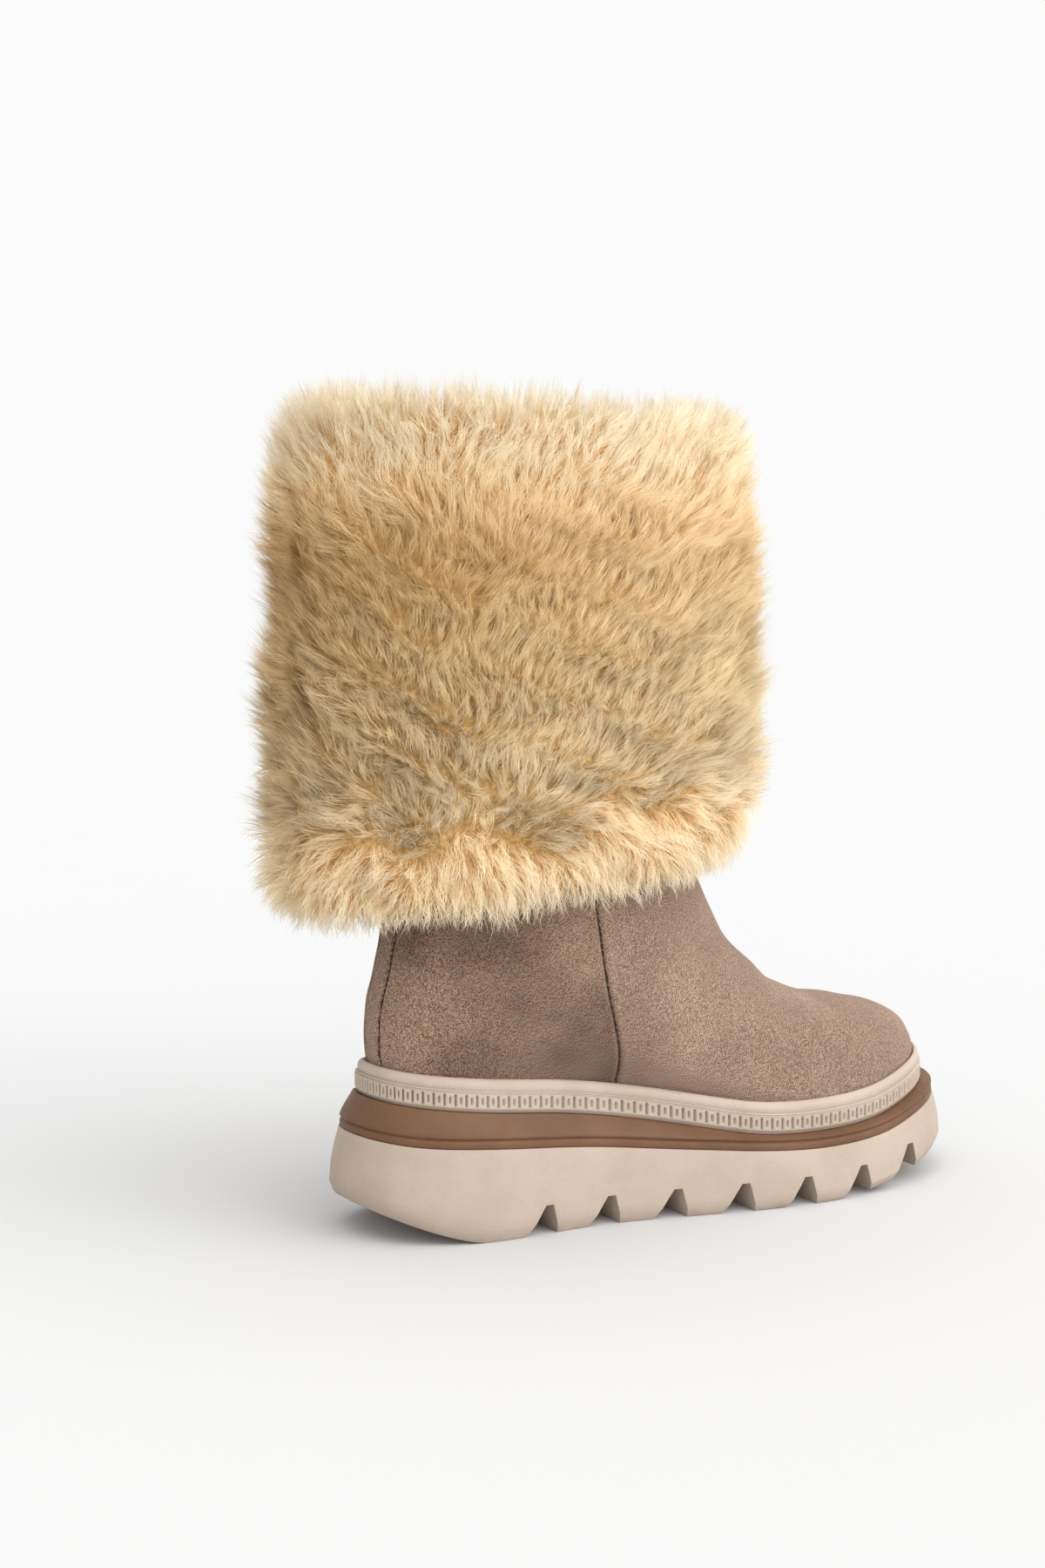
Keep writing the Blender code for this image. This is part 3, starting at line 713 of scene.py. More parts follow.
def solid_mesh(name, rings, sharp):
    """A closed body from its bottom ring to its top ring, with its edges sharp from an angle up."""
    grid = np.array(rings)
    rows, columns = grid.shape[:2]
    low = cap_faces(columns, 0, False)
    high = cap_faces(columns, (rows - 1) * columns, True)
    faces = (grid_faces(rows, columns), low[0], high[0], low[1], high[1])
    mesh = new_mesh(name, grid.reshape(-1, 3), *faces)
    mesh.set_sharp_from_angle(angle=np.radians(sharp))
    return mesh


def ring_mesh(name, rings):
    """A hollow body whose last ring joins its first."""
    grid = np.array(rings)
    rows, columns = grid.shape[:2]
    return new_mesh(name, grid.reshape(-1, 3), grid_faces(rows, columns, closed_rows=True))


def add_object(data):
    """Puts a mesh, lamp or camera into the scene under its own name."""
    item = bpy.data.objects.new(data.name, data)
    bpy.context.scene.collection.objects.link(item)
    return item


def add_piece(mesh, material, slot, *nodes):
    """Puts a mesh into the scene as a piece that rides on the boot and stands for some of its solids."""
    piece = add_object(mesh)
    mesh.materials.clear()
    mesh.materials.append(material)
    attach(piece, "root")
    if nodes:
        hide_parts(*nodes)
    return piece


def set_attribute(mesh, name, values):
    """Keeps a value for each point of a mesh, for its material to read."""
    layer = mesh.attributes.new(name, "FLOAT", "POINT")
    layer.data.foreach_set("value", np.asarray(values, np.float32).ravel())


def settle(piece):
    """Turns a piece's modifiers into its own mesh."""
    bpy.context.view_layer.update()
    shaped = piece.evaluated_get(bpy.context.evaluated_depsgraph_get())
    mesh = bpy.data.meshes.new_from_object(shaped)
    piece.modifiers.clear()
    piece.data = mesh
    return mesh


class Finish:
    """A material under construction: its nodes, its links and its shader."""

    def __init__(self, name, roughness, specular):
        self.material = bpy.data.materials.new(name)
        self.material.use_nodes = True
        self.tree = self.material.node_tree
        self.shader = self.tree.nodes["Principled BSDF"]
        self.set(self.shader, {"Roughness": roughness, "Specular IOR Level": specular})
        self.place = self.add("ShaderNodeTexCoord").outputs["Object"]

    def set(self, node, inputs):
        """Links or sets a node's inputs; a colour is three values."""
        for key, value in inputs.items():
            socket = node.inputs[key]
            if isinstance(value, bpy.types.NodeSocket):
                self.tree.links.new(value, socket)
            elif socket.type == "RGBA":
                socket.default_value = (*value, 1.0)
            else:
                socket.default_value = value

    def add(self, kind, inputs=None, **settings):
        node = self.tree.nodes.new(kind)
        for key, value in settings.items():
            setattr(node, key, value)
        self.set(node, inputs or {})
        return node

    def stretched(self, x, y, z, step=(0.0, 0.0, 0.0)):
        inputs = {"Vector": self.place, "Location": step, "Scale": (x, y, z)}
        return self.add("ShaderNodeMapping", inputs).outputs[0]

    def noise(self, scale, detail=2.0, roughness=0.5, place=None):
        inputs = {"Vector": place or self.place, "Scale": scale, "Detail": detail, "Roughness": roughness}
        return self.add("ShaderNodeTexNoise", inputs).outputs["Fac"]

    def clouds(self, scale, detail, low, high, to_low=0.0, to_high=1.0):
        """Noise that is stretched out between two levels."""
        return self.range(self.noise(scale, detail), low, high, to_low, to_high)

    def attribute(self, name):
        return self.add("ShaderNodeAttribute", attribute_name=name).outputs["Fac"]

    def range(self, value, low, high, to_low=0.0, to_high=1.0):
        inputs = {"Value": value, "From Min": low, "From Max": high, "To Min": to_low, "To Max": to_high}
        return self.add("ShaderNodeMapRange", inputs, interpolation_type="SMOOTHSTEP").outputs[0]

    def math(self, operation, a, b):
        return self.add("ShaderNodeMath", {0: a, 1: b}, operation=operation).outputs[0]

    def mix(self, share, a, b, blend="MIX"):
        inputs = {0: share, 6: a, 7: b}
        return self.add("ShaderNodeMix", inputs, data_type="RGBA", blend_type=blend).outputs[2]

    def bump(self, height, distance, strength):
        inputs = {"Height": height, "Distance": distance, "Strength": strength}
        self.set(self.shader, {"Normal": self.add("ShaderNodeBump", inputs).outputs[0]})

    def color(self, socket):
        self.set(self.shader, {"Base Color": socket})

    def glow_through(self, socket, share):
        """Lets part of the light pass through, as fibres do."""
        through = self.add("ShaderNodeBsdfTranslucent", {"Color": socket})
        shaders = {0: share, 1: self.shader.outputs[0], 2: through.outputs[0]}
        both = self.add("ShaderNodeMixShader", shaders)
        self.set(self.tree.nodes["Material Output"], {"Surface": both.outputs[0]})


def suede_material():
    """Taupe suede with a clumped nap given painted light and shade (lit on one side of each clump, shaded on
    the other), soft patches, seams drawn dark (painted shade in the sunk seam and the seam's own dark edge)
    and a paler, pinker vamp.
    """
    finish = Finish("suede", 0.95, 0.10)
    finish.set(finish.shader, {"Sheen Weight": 0.25, "Sheen Roughness": 0.55, "Sheen Tint": (0.9, 0.8, 0.72)})
    patches = finish.clouds(21.0, 3.0, 0.36, 0.64)
    clouds = finish.clouds(95.0, 3.0, 0.32, 0.68)
    nap = finish.noise(NAP_SCALE, 2.0, 0.6, finish.stretched(*NAP_STRETCH))
    # Painted light and shade on the nap: the nap minus itself shifted toward the light lightens one side of
    # each clump and darkens the other
    nap_shifted_to_light = finish.noise(NAP_SCALE, 2.0, 0.6, finish.stretched(*NAP_STRETCH, NAP_LIGHT_SHIFT))
    painted_nap_shading = finish.math("SUBTRACT", nap, nap_shifted_to_light)
    quarter = finish.mix(patches, (0.142, 0.086, 0.059), (0.285, 0.184, 0.132))
    vamp = finish.mix(patches, (0.246, 0.160, 0.117), (0.318, 0.211, 0.157))
    base = finish.mix(finish.attribute("panel"), quarter, vamp)
    base = finish.mix(finish.math("MULTIPLY", clouds, 0.30), base, (0.235, 0.151, 0.106))
    painted_lit_nap = finish.mix(1.0, base, (1.85, 1.82, 1.76), "MULTIPLY")
    painted_shaded_nap = finish.mix(1.0, base, (0.40, 0.38, 0.36), "MULTIPLY")
    base = finish.mix(finish.range(painted_nap_shading, 0.0, NAP_PAINTED_SHADING), base, painted_lit_nap)
    base = finish.mix(finish.range(painted_nap_shading, 0.0, -NAP_PAINTED_SHADING), base, painted_shaded_nap)
    # Seams drawn dark: painted shade in the sunk seam, with the seam's own dark raw edge
    ragged = finish.clouds(700.0, 1.0, 0.3, 0.7, -0.28, 0.28)
    ragged = finish.math("ADD", finish.attribute("seam"), ragged)
    base = finish.mix(finish.range(ragged, 0.40, 0.85), base, (0.040, 0.026, 0.020))
    finish.color(base)
    finish.bump(nap, 0.0012, 0.8)
    return finish.material


def rubber_material(name, low, high, roughness):
    """Moulded rubber: cloudy colour, fine speckle, uneven gloss, a dusty tread edge and painted shade down in
    the band's grooves.
    """
    finish = Finish(name, roughness, 0.25)
    speckle = finish.noise(900.0, 3.0, 0.6)
    clouds = finish.range(finish.noise(38.0, 4.0, 0.6), 0.35, 0.65)
    base = finish.mix(clouds, low, high)
    flecks = finish.range(speckle, 0.60, 0.74, 0.0, 0.35)
    base = finish.mix(flecks, base, tuple(0.62 * value for value in low))
    height = finish.add("ShaderNodeSeparateXYZ", {0: finish.place}).outputs["Z"]
    dust = finish.math("MULTIPLY", finish.range(height, 0.007, 0.0), finish.clouds(160.0, 4.0, 0.4, 0.7))
    base = finish.mix(finish.math("MULTIPLY", dust, 0.45), base, (0.30, 0.24, 0.18))
    # Painted shade: darker down in the band's upright grooves
    groove = finish.math("MULTIPLY", finish.attribute("groove"), 0.45)
    base = finish.mix(groove, base, tuple(0.45 * value for value in low))
    finish.color(base)
    gloss = finish.clouds(120.0, 3.0, 0.3, 0.7, roughness - 0.07, roughness + 0.08)
    finish.set(finish.shader, {"Roughness": gloss})
    finish.bump(finish.math("ADD", speckle, finish.noise(240.0)), 0.00018, 0.5)
    return finish.material


def strand_material():
    """Wool strands: golden at the root, ivory at the tip, paler at the crest and the hem; the paleness
    carries painted light as well as the wool's own tone.
    """
    finish = Finish("wool_strands", 0.9, 0.02)
    tip = finish.attribute("tip")
    shade = finish.mix(finish.range(tip, 0.0, 0.50), (0.59, 0.375, 0.15), (0.955, 0.735, 0.405))
    shade = finish.mix(finish.range(tip, 0.45, 1.0), shade, (0.99, 0.795, 0.50))
    light = finish.mix(finish.range(tip, 0.0, 0.75), (0.97, 0.71, 0.38), (1.0, 0.91, 0.71))
    base = finish.mix(finish.attribute("pale"), shade, light)
    finish.color(base)
    finish.glow_through(base, STRAND_GLOW)
    return finish.material


def pelt_material(name, low, high, scale):
    """Matted wool seen between the strands and inside the boot, darker in the hollows between its tufts:
    painted shade, with the wool's darker roots.
    """
    finish = Finish(name, 0.95, 0.05)
    curls = finish.noise(scale, 4.0, 0.6)
    tuft = finish.add("ShaderNodeTexVoronoi", {"Vector": finish.place, "Scale": scale * 0.8})
    tufts = tuft.outputs["Distance"]
    base = finish.mix(finish.range(curls, 0.3, 0.7), low, high)
    # Painted shade in the hollows between tufts, partly the wool's own darker roots
    base = finish.mix(finish.range(tufts, 0.35, 0.85, 0.0, 0.5), base, tuple(0.5 * value for value in low))
    finish.color(base)
    finish.bump(finish.math("SUBTRACT", curls, tufts), 0.0022, 0.9)
    return finish.material


def notch_section(x, height):
    """A notch seen from the side, from the tread to its rounded top."""
    run = NOTCH_FOOT - NOTCH_TOP
    lean = run * NOTCH_LEAN / NOTCH_HEIGHT
    steep = run * (1 - NOTCH_LEAN) / NOTCH_HEIGHT
    foot = tread_height(x + NOTCH_FOOT / 2)
    below = NOTCH_HEIGHT * NOTCH_OVERRUN
    return (
        (x - lean * below, foot - below),
        (x + NOTCH_FOOT + steep * below, foot - below),
        (x + NOTCH_FOOT - steep * height, foot + height),
        (x + lean * height, foot + height),
    )


def notch_cutter(index):
    """One notch: deep from each side of the sole, and a shallow channel between."""
    x = NOTCH_FIRST + index * NOTCH_PITCH
    edge_x, edge_y = plan(steps_round(OUTLINE_POINTS), 0.0)
    half = OUTLINE_POINTS // 2
    outer = np.interp(x, edge_x[:half], edge_y[:half])
    inner = np.interp(x, edge_x[:half:-1], edge_y[:half:-1])
    beyond = BALL_WIDTH / 4
    stops = (
        (outer - beyond, NOTCH_HEIGHT),
        (outer + NOTCH_REACH, NOTCH_HEIGHT),
        (outer + NOTCH_REACH + CHANNEL_RAMP, CHANNEL_DEPTH),
        (inner - NOTCH_REACH - CHANNEL_RAMP, CHANNEL_DEPTH),
        (inner - NOTCH_REACH, NOTCH_HEIGHT),
        (inner + beyond, NOTCH_HEIGHT),
    )
    bm = bmesh.new()
    rings = []
    for y, height in stops:
        section = notch_section(x, height)
        rings.append([bm.verts.new((px - HEEL_SETBACK, y, pz)) for px, pz in section])
    bm.faces.new(rings[0])
    for near, far in zip(rings, rings[1:]):
        for i in range(len(near)):
            j = (i + 1) % len(near)
            bm.faces.new((near[i], near[j], far[j], far[i]))
    bm.faces.new(rings[-1])
    bmesh.ops.recalc_face_normals(bm, faces=bm.faces)
    mesh = bpy.data.meshes.new("notch_cutter")
    bm.to_mesh(mesh)
    bm.free()
    return add_object(mesh)


def make_outsole(material):
    """Cream rubber unit with seven notches and softened edges."""
    turn = steps_round(OUTSOLE_COLUMNS)
    rings = []
    for share in (0.0, *np.linspace(0.03, 1.0, 9)):
        inset = smooth_value(OUTSOLE_WALL, "inset", share)
        rings.append(sole_ring(turn, inset, tread_height, 0.0, outsole_top, share))
    mesh = solid_mesh("outsole_rubber", rings, OUTSOLE_SHARP)
    piece = add_piece(mesh, material, "outsole_rubber", "outsole")
    cutters = [notch_cutter(index) for index in range(NOTCH_COUNT)]
    for cutter in cutters:
        cut = piece.modifiers.new("notch", "BOOLEAN")
        cut.operation = "DIFFERENCE"
        cut.solver = "EXACT"
        cut.object = cutter
    edges = piece.modifiers.new("edges", "BEVEL")
    edges.width = EDGE_ROUND
    edges.segments = 3
    edges.limit_method = "ANGLE"
    edges.angle_limit = np.radians(ROUNDED_FROM)
    mesh = settle(piece)
    mesh.shade_smooth()
    mesh.set_sharp_from_angle(angle=np.radians(OUTSOLE_SHARP))
    for cutter in cutters:
        bpy.data.objects.remove(cutter, do_unlink=True)


def make_midsole(material):
    """Tan layer with one fine line run round its side."""
    turn = steps_round(MIDSOLE_COLUMNS)
    line = MIDSOLE_LINE_HEIGHT + np.linspace(-2.2, 2.2, 11) * MIDSOLE_LINE_WIDTH
    rings = [sole_ring(turn, MIDSOLE_INSET + GAP, outsole_top, SEAT)]
    for lift in (*MIDSOLE_CORNER, *line):
        groove = MIDSOLE_LINE_DEPTH * bell((lift - MIDSOLE_LINE_HEIGHT) / MIDSOLE_LINE_WIDTH)
        rings.append(sole_ring(turn, MIDSOLE_INSET + groove, outsole_top, SEAT + lift))
    for share in np.linspace(0.15, 1.0, 7):
        inset = MIDSOLE_INSET + MIDSOLE_FLARE * share ** MIDSOLE_CURVE
        rings.append(sole_ring(turn, inset, outsole_top, line[-1] + GAP, midsole_top, share))
    mesh = solid_mesh("midsole_rubber", rings, MIDSOLE_SHARP)
    add_piece(mesh, material, "midsole_foam", "midsole")


def rib_turns():
    """Turns of the band's columns, a few across each groove and one on each ridge, and the ribs' number."""
    loop = sole_ring(steps_round(256), WELT_INSET, midsole_top)
    girth = run_along(np.vstack((loop, loop[:1])))[-1]
    ribs = round(girth / RIB_PITCH)
    offsets = np.array((-1.2, -0.9, -0.4, 0.4, 0.9, 1.2)) * RIB_HALF_WIDTH / RIB_PITCH
    phases = np.concatenate((offsets, (0.25,), 0.5 + offsets, (0.75,)))
    return np.sort((np.arange(ribs)[:, None] + phases[None, :]).ravel() / ribs % 1.0), ribs


def rib_grooves(turn, lift, ribs):
    """Depth of the band's upright grooves, 0 to 1: a long one and a short one in turn."""
    phase = (turn * ribs) % 1.0
    depth = np.zeros(turn.shape)
    for offset, length, share in ((0.0, LONG_RIB, 1.0), (0.5, SHORT_RIB, SHORT_RIB_SHARE)):
        aside = np.abs((phase - offset + 0.5) % 1.0 - 0.5) * RIB_PITCH
        beyond = max(abs(lift - RIB_MIDDLE) - (length / 2 - RIB_HALF_WIDTH), 0.0)
        distance = np.hypot(aside, beyond) / RIB_HALF_WIDTH
        depth = depth + share * (1 - ease((distance - RIB_FLOOR) / RIB_WALL))
    return depth


def make_band(material):
    """Grooved band of the foxing."""
    turn, ribs = rib_turns()
    rings = []
    grooves = []
    for lift in BAND_LIFTS:
        groove = rib_grooves(turn, lift, ribs)
        under = BAND_UNDERCUT * (1 - ease(lift / UNDERCUT_RISE))
        inset = WELT_INSET + under + RIB_DEPTH * groove
        rings.append(sole_ring(turn, inset, midsole_top, SEAT + lift))
        grooves.append(groove)
    mesh = solid_mesh("welt_band", rings, BAND_SHARP)
    # Depth of the grooves, which the rubber reads to paint shade in them
    set_attribute(mesh, "groove", np.concatenate(grooves))
    add_piece(mesh, material, "welt_rubber", "welt")


def make_bead(material):
    """Fine line above the band, the round bead and the tray that holds the upper."""
    top = BAND_HEIGHT + BEAD_HEIGHT
    section = [(BEAD_SETBACK, BAND_HEIGHT * 0.8), *BAND_LINES]
    for angle in np.radians(np.linspace(-30, 90, 9)):
        inset = BEAD_SETBACK + BEAD_WIDTH * (1 - np.cos(angle)) - BEAD_LIP
        section.append((inset, BAND_HEIGHT + BEAD_HEIGHT * (BEAD_MIDDLE + BEAD_ROUND * np.sin(angle))))
    section.append((BEAD_SETBACK + BEAD_WIDTH, top - TRAY_LIP))
    section.append((BEAD_SETBACK + BEAD_WIDTH, top - TRAY_DEPTH))
    turn = steps_round(BEAD_COLUMNS)
    rings = [sole_ring(turn, WELT_INSET + inset, midsole_top, lift) for inset, lift in section]
    mesh = solid_mesh("welt_bead", rings, BEAD_SHARP)
    set_attribute(mesh, "groove", np.zeros(len(mesh.vertices)))
    add_piece(mesh, material, "welt_rubber")


def make_insole(material):
    """Footbed with its woolly face."""
    turn = steps_round(INSOLE_COLUMNS)
    rings = []
    for inset, share in INSOLE_EDGE:
        rings.append(sole_ring(turn, LINING_INSET + GAP + inset, tray_floor, GAP + share * INSOLE_THICKNESS))
    add_piece(solid_mesh("insole_fleece", rings, SMOOTH), material, "insole_wool", "insole")


def past_seam(points):
    """How far each point of the upper lies in front of the side seam."""
    return points[..., 0] - (smooth_value(SIDE_SEAM, "place", points[..., 2]) - HEEL_SETBACK)


def seam_turns(levels):
    """Turns at which the four seams cross each level: two at the back strip, then outer and inner side."""
    near = np.linspace(0.0, 0.08, 80)
    outer = np.linspace(0.12, 0.40, 200)
    rows = []
    for level in levels:
        strip = np.interp(BACK_STRIP / 2, -upper_point(near, level)[:, 1], near)
        sides = [np.interp(0.0, past_seam(upper_point(side, level)), side) for side in (outer, 1 - outer)]
        rows.append((strip, *sides, 1 - strip))
    return np.array(rows)


def column_turns(count, middles):
    """Turns of the columns, crowded where a seam runs."""
    fine = np.linspace(0, 1, 4001)
    crowd = np.ones_like(fine)
    for middle in middles:
        crowd += SEAM_CROWD * bell((fine - middle) / SEAM_CROWD_REACH)
    total = np.concatenate(([0.0], np.cumsum((crowd[1:] + crowd[:-1]) / 2)))
    return np.interp(steps_round(count) * total[-1], total, fine)


def upper_turns(seams):
    """Turns of the upper's columns: plain ones, and ones that follow the seams at every level."""
    middles = seams.mean(axis=0)
    base = column_turns(UPPER_COLUMNS, middles)
    turn = np.tile(base, (len(seams), 1))
    for index, reach in enumerate(SEAM_REACHES):
        pull = np.clip(1 - np.abs(base - middles[index]) / reach, 0, 1)
        turn += (seams[:, index] - middles[index])[:, None] * ease(pull)
    return base, turn


def upper_relief(turn, level, seams, speed):
    """Height of the suede over its plain form, and how far each point is part of a seam, 0 to 1."""
    seam = np.zeros(turn.shape)
    roll = np.zeros(turn.shape)
    for middle in seams.T:
        away = np.abs(turn - middle[:, None]) * speed
        seam = np.maximum(seam, bell(away / SEAM_HALF_WIDTH))
        roll = np.maximum(roll, bell((away - ROLL_PLACE) / ROLL_HALF_WIDTH))
    lift = SEAM_ROLL * roll - SEAM_DEPTH * seam
    for fold in FOLDS:
        off_turn = turn - fold.turn
        off_level = level - fold.level - fold.climb * off_turn
        lift -= fold.depth * bell(off_turn / fold.reach) * bell(off_level / fold.width)
    lift += SUEDE_UNEVEN * ripple(turn, level * 0.3, 11, 24)
    return lift * (ease(level / 0.03) * 0.85 + 0.15), seam


def make_upper(material):
    """Suede wall with its seams sunk in, its edges rolled and soft folds at the ankle."""
    levels = np.concatenate((np.linspace(0, 1, 96)[:-1], np.linspace(1, 2, 22)))
    seams = seam_turns(levels)
    base, turn = upper_turns(seams)
    level = levels[:, None]
    grid = upper_point(turn, level)
    around = chord(grid, 1)
    normal = unit(np.cross(around, np.gradient(grid, axis=0)))
    speed = np.linalg.norm(around, axis=2) / (chord(turn, 1) % 1.0)
    lift, seam = upper_relief(turn, level, seams, speed)
    outside = grid + normal * lift[..., None]
    inside = [shaft(base, share, -WALL) for share in (1.0, 0.5)]
    inside += [inside_wall(base, inner, WALL) for inner in np.linspace(1.0, 0.0, 9)]
    inside.append(sole_ring(base, LINING_INSET, tray_floor, GAP))
    feather = sole_ring(turn[0], UPPER_INSET, tray_floor, GAP)
    mesh = ring_mesh("upper_suede", [feather, *outside, *inside])
    strip = ease((seams[:, :1] - off_back(turn)) * speed / STRIP_EDGE)
    panel = np.maximum(ease(past_seam(grid) / PANEL_EDGE), STRIP_PALER * strip)
    blank = np.zeros((len(inside), len(base)))
    set_attribute(mesh, "seam", np.vstack((blank[:1], seam, blank)))
    set_attribute(mesh, "panel", np.vstack((panel[:1], panel, blank)))
    add_piece(mesh, material, "suede", "upper")


def make_lining(material):
    """Short fleece on the inside of the foot and shaft, up to the longer wool of the mouth."""
    turn = steps_round(LINING_COLUMNS)
    levels = np.concatenate((np.linspace(0.02, 1.0, 30), np.linspace(1.0, 1.0 + INNER_SHARE, 16)[1:]))
    back = [inside_wall(turn, level, WALL + GAP) for level in levels]
    front = []
    for level in levels:
        bumps = LINING_UNEVEN * ripple(turn, level * 0.35, 23, 40)
        front.append(inside_wall(turn, level, WALL + LINING_PILE + bumps))
    add_piece(ring_mesh("shaft_lining", back + front[::-1]), material, "insole_wool")


@lru_cache(maxsize=None)
def upper_reaches():
    """Heights of the upper's outside with its reach to the back, to the front and to the side."""
    levels = np.linspace(0, 2, 240)
    back = upper_point(0.0, levels)
    front = upper_point(0.5, levels)
    side = upper_point(0.25, levels)
    return back, front, side


def cuff_point(turn, height, spread, outside):
    """A place on the cuff: it follows the upper at its top and swings clear of it towards the hem."""
    back_path, front_path, side_path = upper_reaches()
    flare = np.clip((SHAFT_TOP - height) / CUFF_DROP, 0, 1) * outside
    tilt = flare * HEM_TILT
    back = np.interp(height - tilt, back_path[:, 2], back_path[:, 0]) - flare * HEM_CLEAR_BACK
    front = np.interp(height + tilt, front_path[:, 2], front_path[:, 0]) + flare * HEM_CLEAR_FRONT
    half = np.interp(height, side_path[:, 2], -side_path[:, 1]) + flare * HEM_CLEAR_SIDE
    point = oval(turn, back + HEEL_SETBACK, front + HEEL_SETBACK, half, height, spread)
    point[..., 2] -= tilt * np.cos(2 * np.pi * turn)
    return point


@lru_cache(maxsize=None)
def pelt_path():
    """The pelt's section as height, spread and outside, at even steps along it, and its length."""
    at = np.linspace(0, PELT[-1].along, 600)
    drop = smooth_value(PELT, "drop", at)
    height = SHAFT_TOP - drop * CUFF_DROP + smooth_value(PELT, "rise", at) * CREST_HEIGHT
    spread = smooth_value(PELT, "spread", at) * PILE
    outside = smooth_value(PELT, "outside", at)
    run = run_along(np.column_stack((height, spread)))
    marks = np.linspace(0, run[-1], len(run))
    path = [np.interp(marks, run, values) for values in (height, spread, outside)]
    return np.array(path), run[-1]


def pelt_point(turn, run):
    """A place on the pelt; run goes from 0 inside the mouth to 1 under the hem."""
    path, _ = pelt_path()
    marks = np.linspace(0, 1, path.shape[1])
    height, spread, outside = (np.interp(run, marks, values) for values in path)
    crest = CREST_WAVE * ripple(turn, 0.0, 47, 11) + smooth_value(CREST, "rise", turn % 1.0)
    height = height + bell((run - CREST_AT) / CREST_REACH) * crest
    lumps = BROAD_LUMPS * ripple(turn, run * 0.6, 41, 7) + FINE_LUMPS * ripple(turn, run * 0.6, 43, 20)
    furrow = BACK_FURROW * bell(off_back(turn) / FURROW_HALF_TURN)
    puff = BACK_PUFF * bell(off_back(turn) / PUFF_HALF_TURN) * bell((run - PUFF_AT) / PUFF_REACH)
    spread = spread + ease((run - HANG_FROM) / HANG_FADE) * (lumps - furrow) + puff
    return cuff_point(turn, height, spread, outside)


@lru_cache(maxsize=None)
def even_turns():
    """Turns at even steps of length round the cuff, and the cuff's girth."""
    turn = np.linspace(0, 1, 721)
    ring = pelt_point(turn, np.full(turn.shape, 0.6))
    run = run_along(ring)
    return turn, run / run[-1], run[-1]


def turn_at(share):
    """Turn at a share of the length round the cuff."""
    turn, run, _ = even_turns()
    return np.interp(share % 1.0, run, turn)


def pelt_frame(turn, run):
    """Place, outward normal, direction round the boot and direction along the pelt to the hem."""
    small = 0.002
    place = pelt_point(turn, run)
    around = unit(pelt_point(turn + small, run) - pelt_point(turn - small, run))
    down = unit(pelt_point(turn, np.minimum(run + small, 1)) - pelt_point(turn, np.maximum(run - small, 0)))
    normal = unit(np.cross(down, around))
    return place, normal, around, down


def make_pelt(material):
    """The matted body of the cuff, which shows only between the strands."""
    turn = turn_at(steps_round(PELT_COLUMNS))
    rings = [pelt_point(turn, np.full(turn.shape, run)) for run in np.linspace(0, 1, 72)]
    for height in (HEM_HEIGHT + 0.012, SHAFT_TOP - 0.05, SHAFT_TOP + GAP):
        rings.append(cuff_point(turn, height, GAP, 1.0))
    rings.append(cuff_point(turn, SHAFT_TOP + GAP, -WALL - GAP, 0.0))
    rings.append(shaft(turn, INNER_SHARE, -WALL - GAP))
    add_piece(ring_mesh("cuff_pelt", rings[::-1]), material, "wool", "cuff")


def lock_flow(turn, run, aside, down, draw):
    """Direction along the pelt in which each lock lies."""
    count = len(run)
    lean = smooth_value(NAP, "lean", run) + PATCHY * ripple(turn, run, 51, 9)
    lean += draw.normal(0, LEAN_UNEVEN, count)
    lean += HEM_SWIRL * bell((run - SWIRL_AT) / SWIRL_REACH) * ripple(turn, run, 55, 16)
    sideways = np.clip((off_back(turn) - SWEEP_TURN) / (0.5 - SWEEP_TURN), 0, 1)
    forward = SWEEP_LEAST + SWEEP_FORWARD * np.sin(np.pi * sideways)
    backward = SWEEP_BACKWARD * np.sin(np.pi * np.clip(off_back(turn) / SWEEP_TURN, 0, 1))
    side = np.where(turn % 1.0 < 0.5, 1.0, -1.0)
    sweep = side * (forward - backward) * ease((run - SWEEP_FROM) / SWEEP_FADE)
    sweep += PATCHY * ripple(turn, run, 53, 12) + draw.normal(0, SWEEP_UNEVEN, count)
    parting = PARTING * bell(off_back(turn) / PARTING_HALF_TURN)
    sweep += side * parting * ease((run - HANG_FROM) / PARTING_FADE)
    return unit(lean[:, None] * down + sweep[:, None] * aside)


def lock_curve(turn, run, share, normal, flow, draw):
    """Points of each lock at the stations along it, seen from its root."""
    count = len(run)
    wild = ease((np.abs(ripple(turn, run, 57, 14)) - 0.5) / 0.8)
    root_tilt = np.radians(smooth_value(NAP, "root", run) + draw.normal(0, ROOT_UNEVEN, count))
    tip_tilt = smooth_value(NAP, "tip", run) + draw.normal(0, TIP_UNEVEN, count) - WILD_TILT * wild
    tip_tilt = np.radians(tip_tilt)
    uneven = 0.05 * ripple(turn, run, 59, 9) + 0.10 * ripple(turn, run, 63, 34)
    uneven += draw.normal(0, LENGTH_UNEVEN, count)
    size = STRAND_LENGTH * np.clip(smooth_value(NAP, "length", run) * (1 + uneven), 0.35, 1.4)
    curl = draw.normal(0.0, LOCK_CURL, count)
    sideways = np.cross(normal, flow)
    curve = [np.zeros_like(normal)]
    for near, far in zip(STATIONS, STATIONS[1:]):
        middle = (near + far) / 2
        tilt = root_tilt + (tip_tilt - root_tilt) * middle
        swing = middle * curl * np.sin(5.0 * middle + share * 311.0)
        heading = np.cos(tilt)[:, None] * normal + np.sin(tilt)[:, None] * flow + swing[:, None] * sideways
        curve.append(curve[-1] + unit(heading) * (size * (far - near))[:, None])
    return np.stack(curve, axis=1)


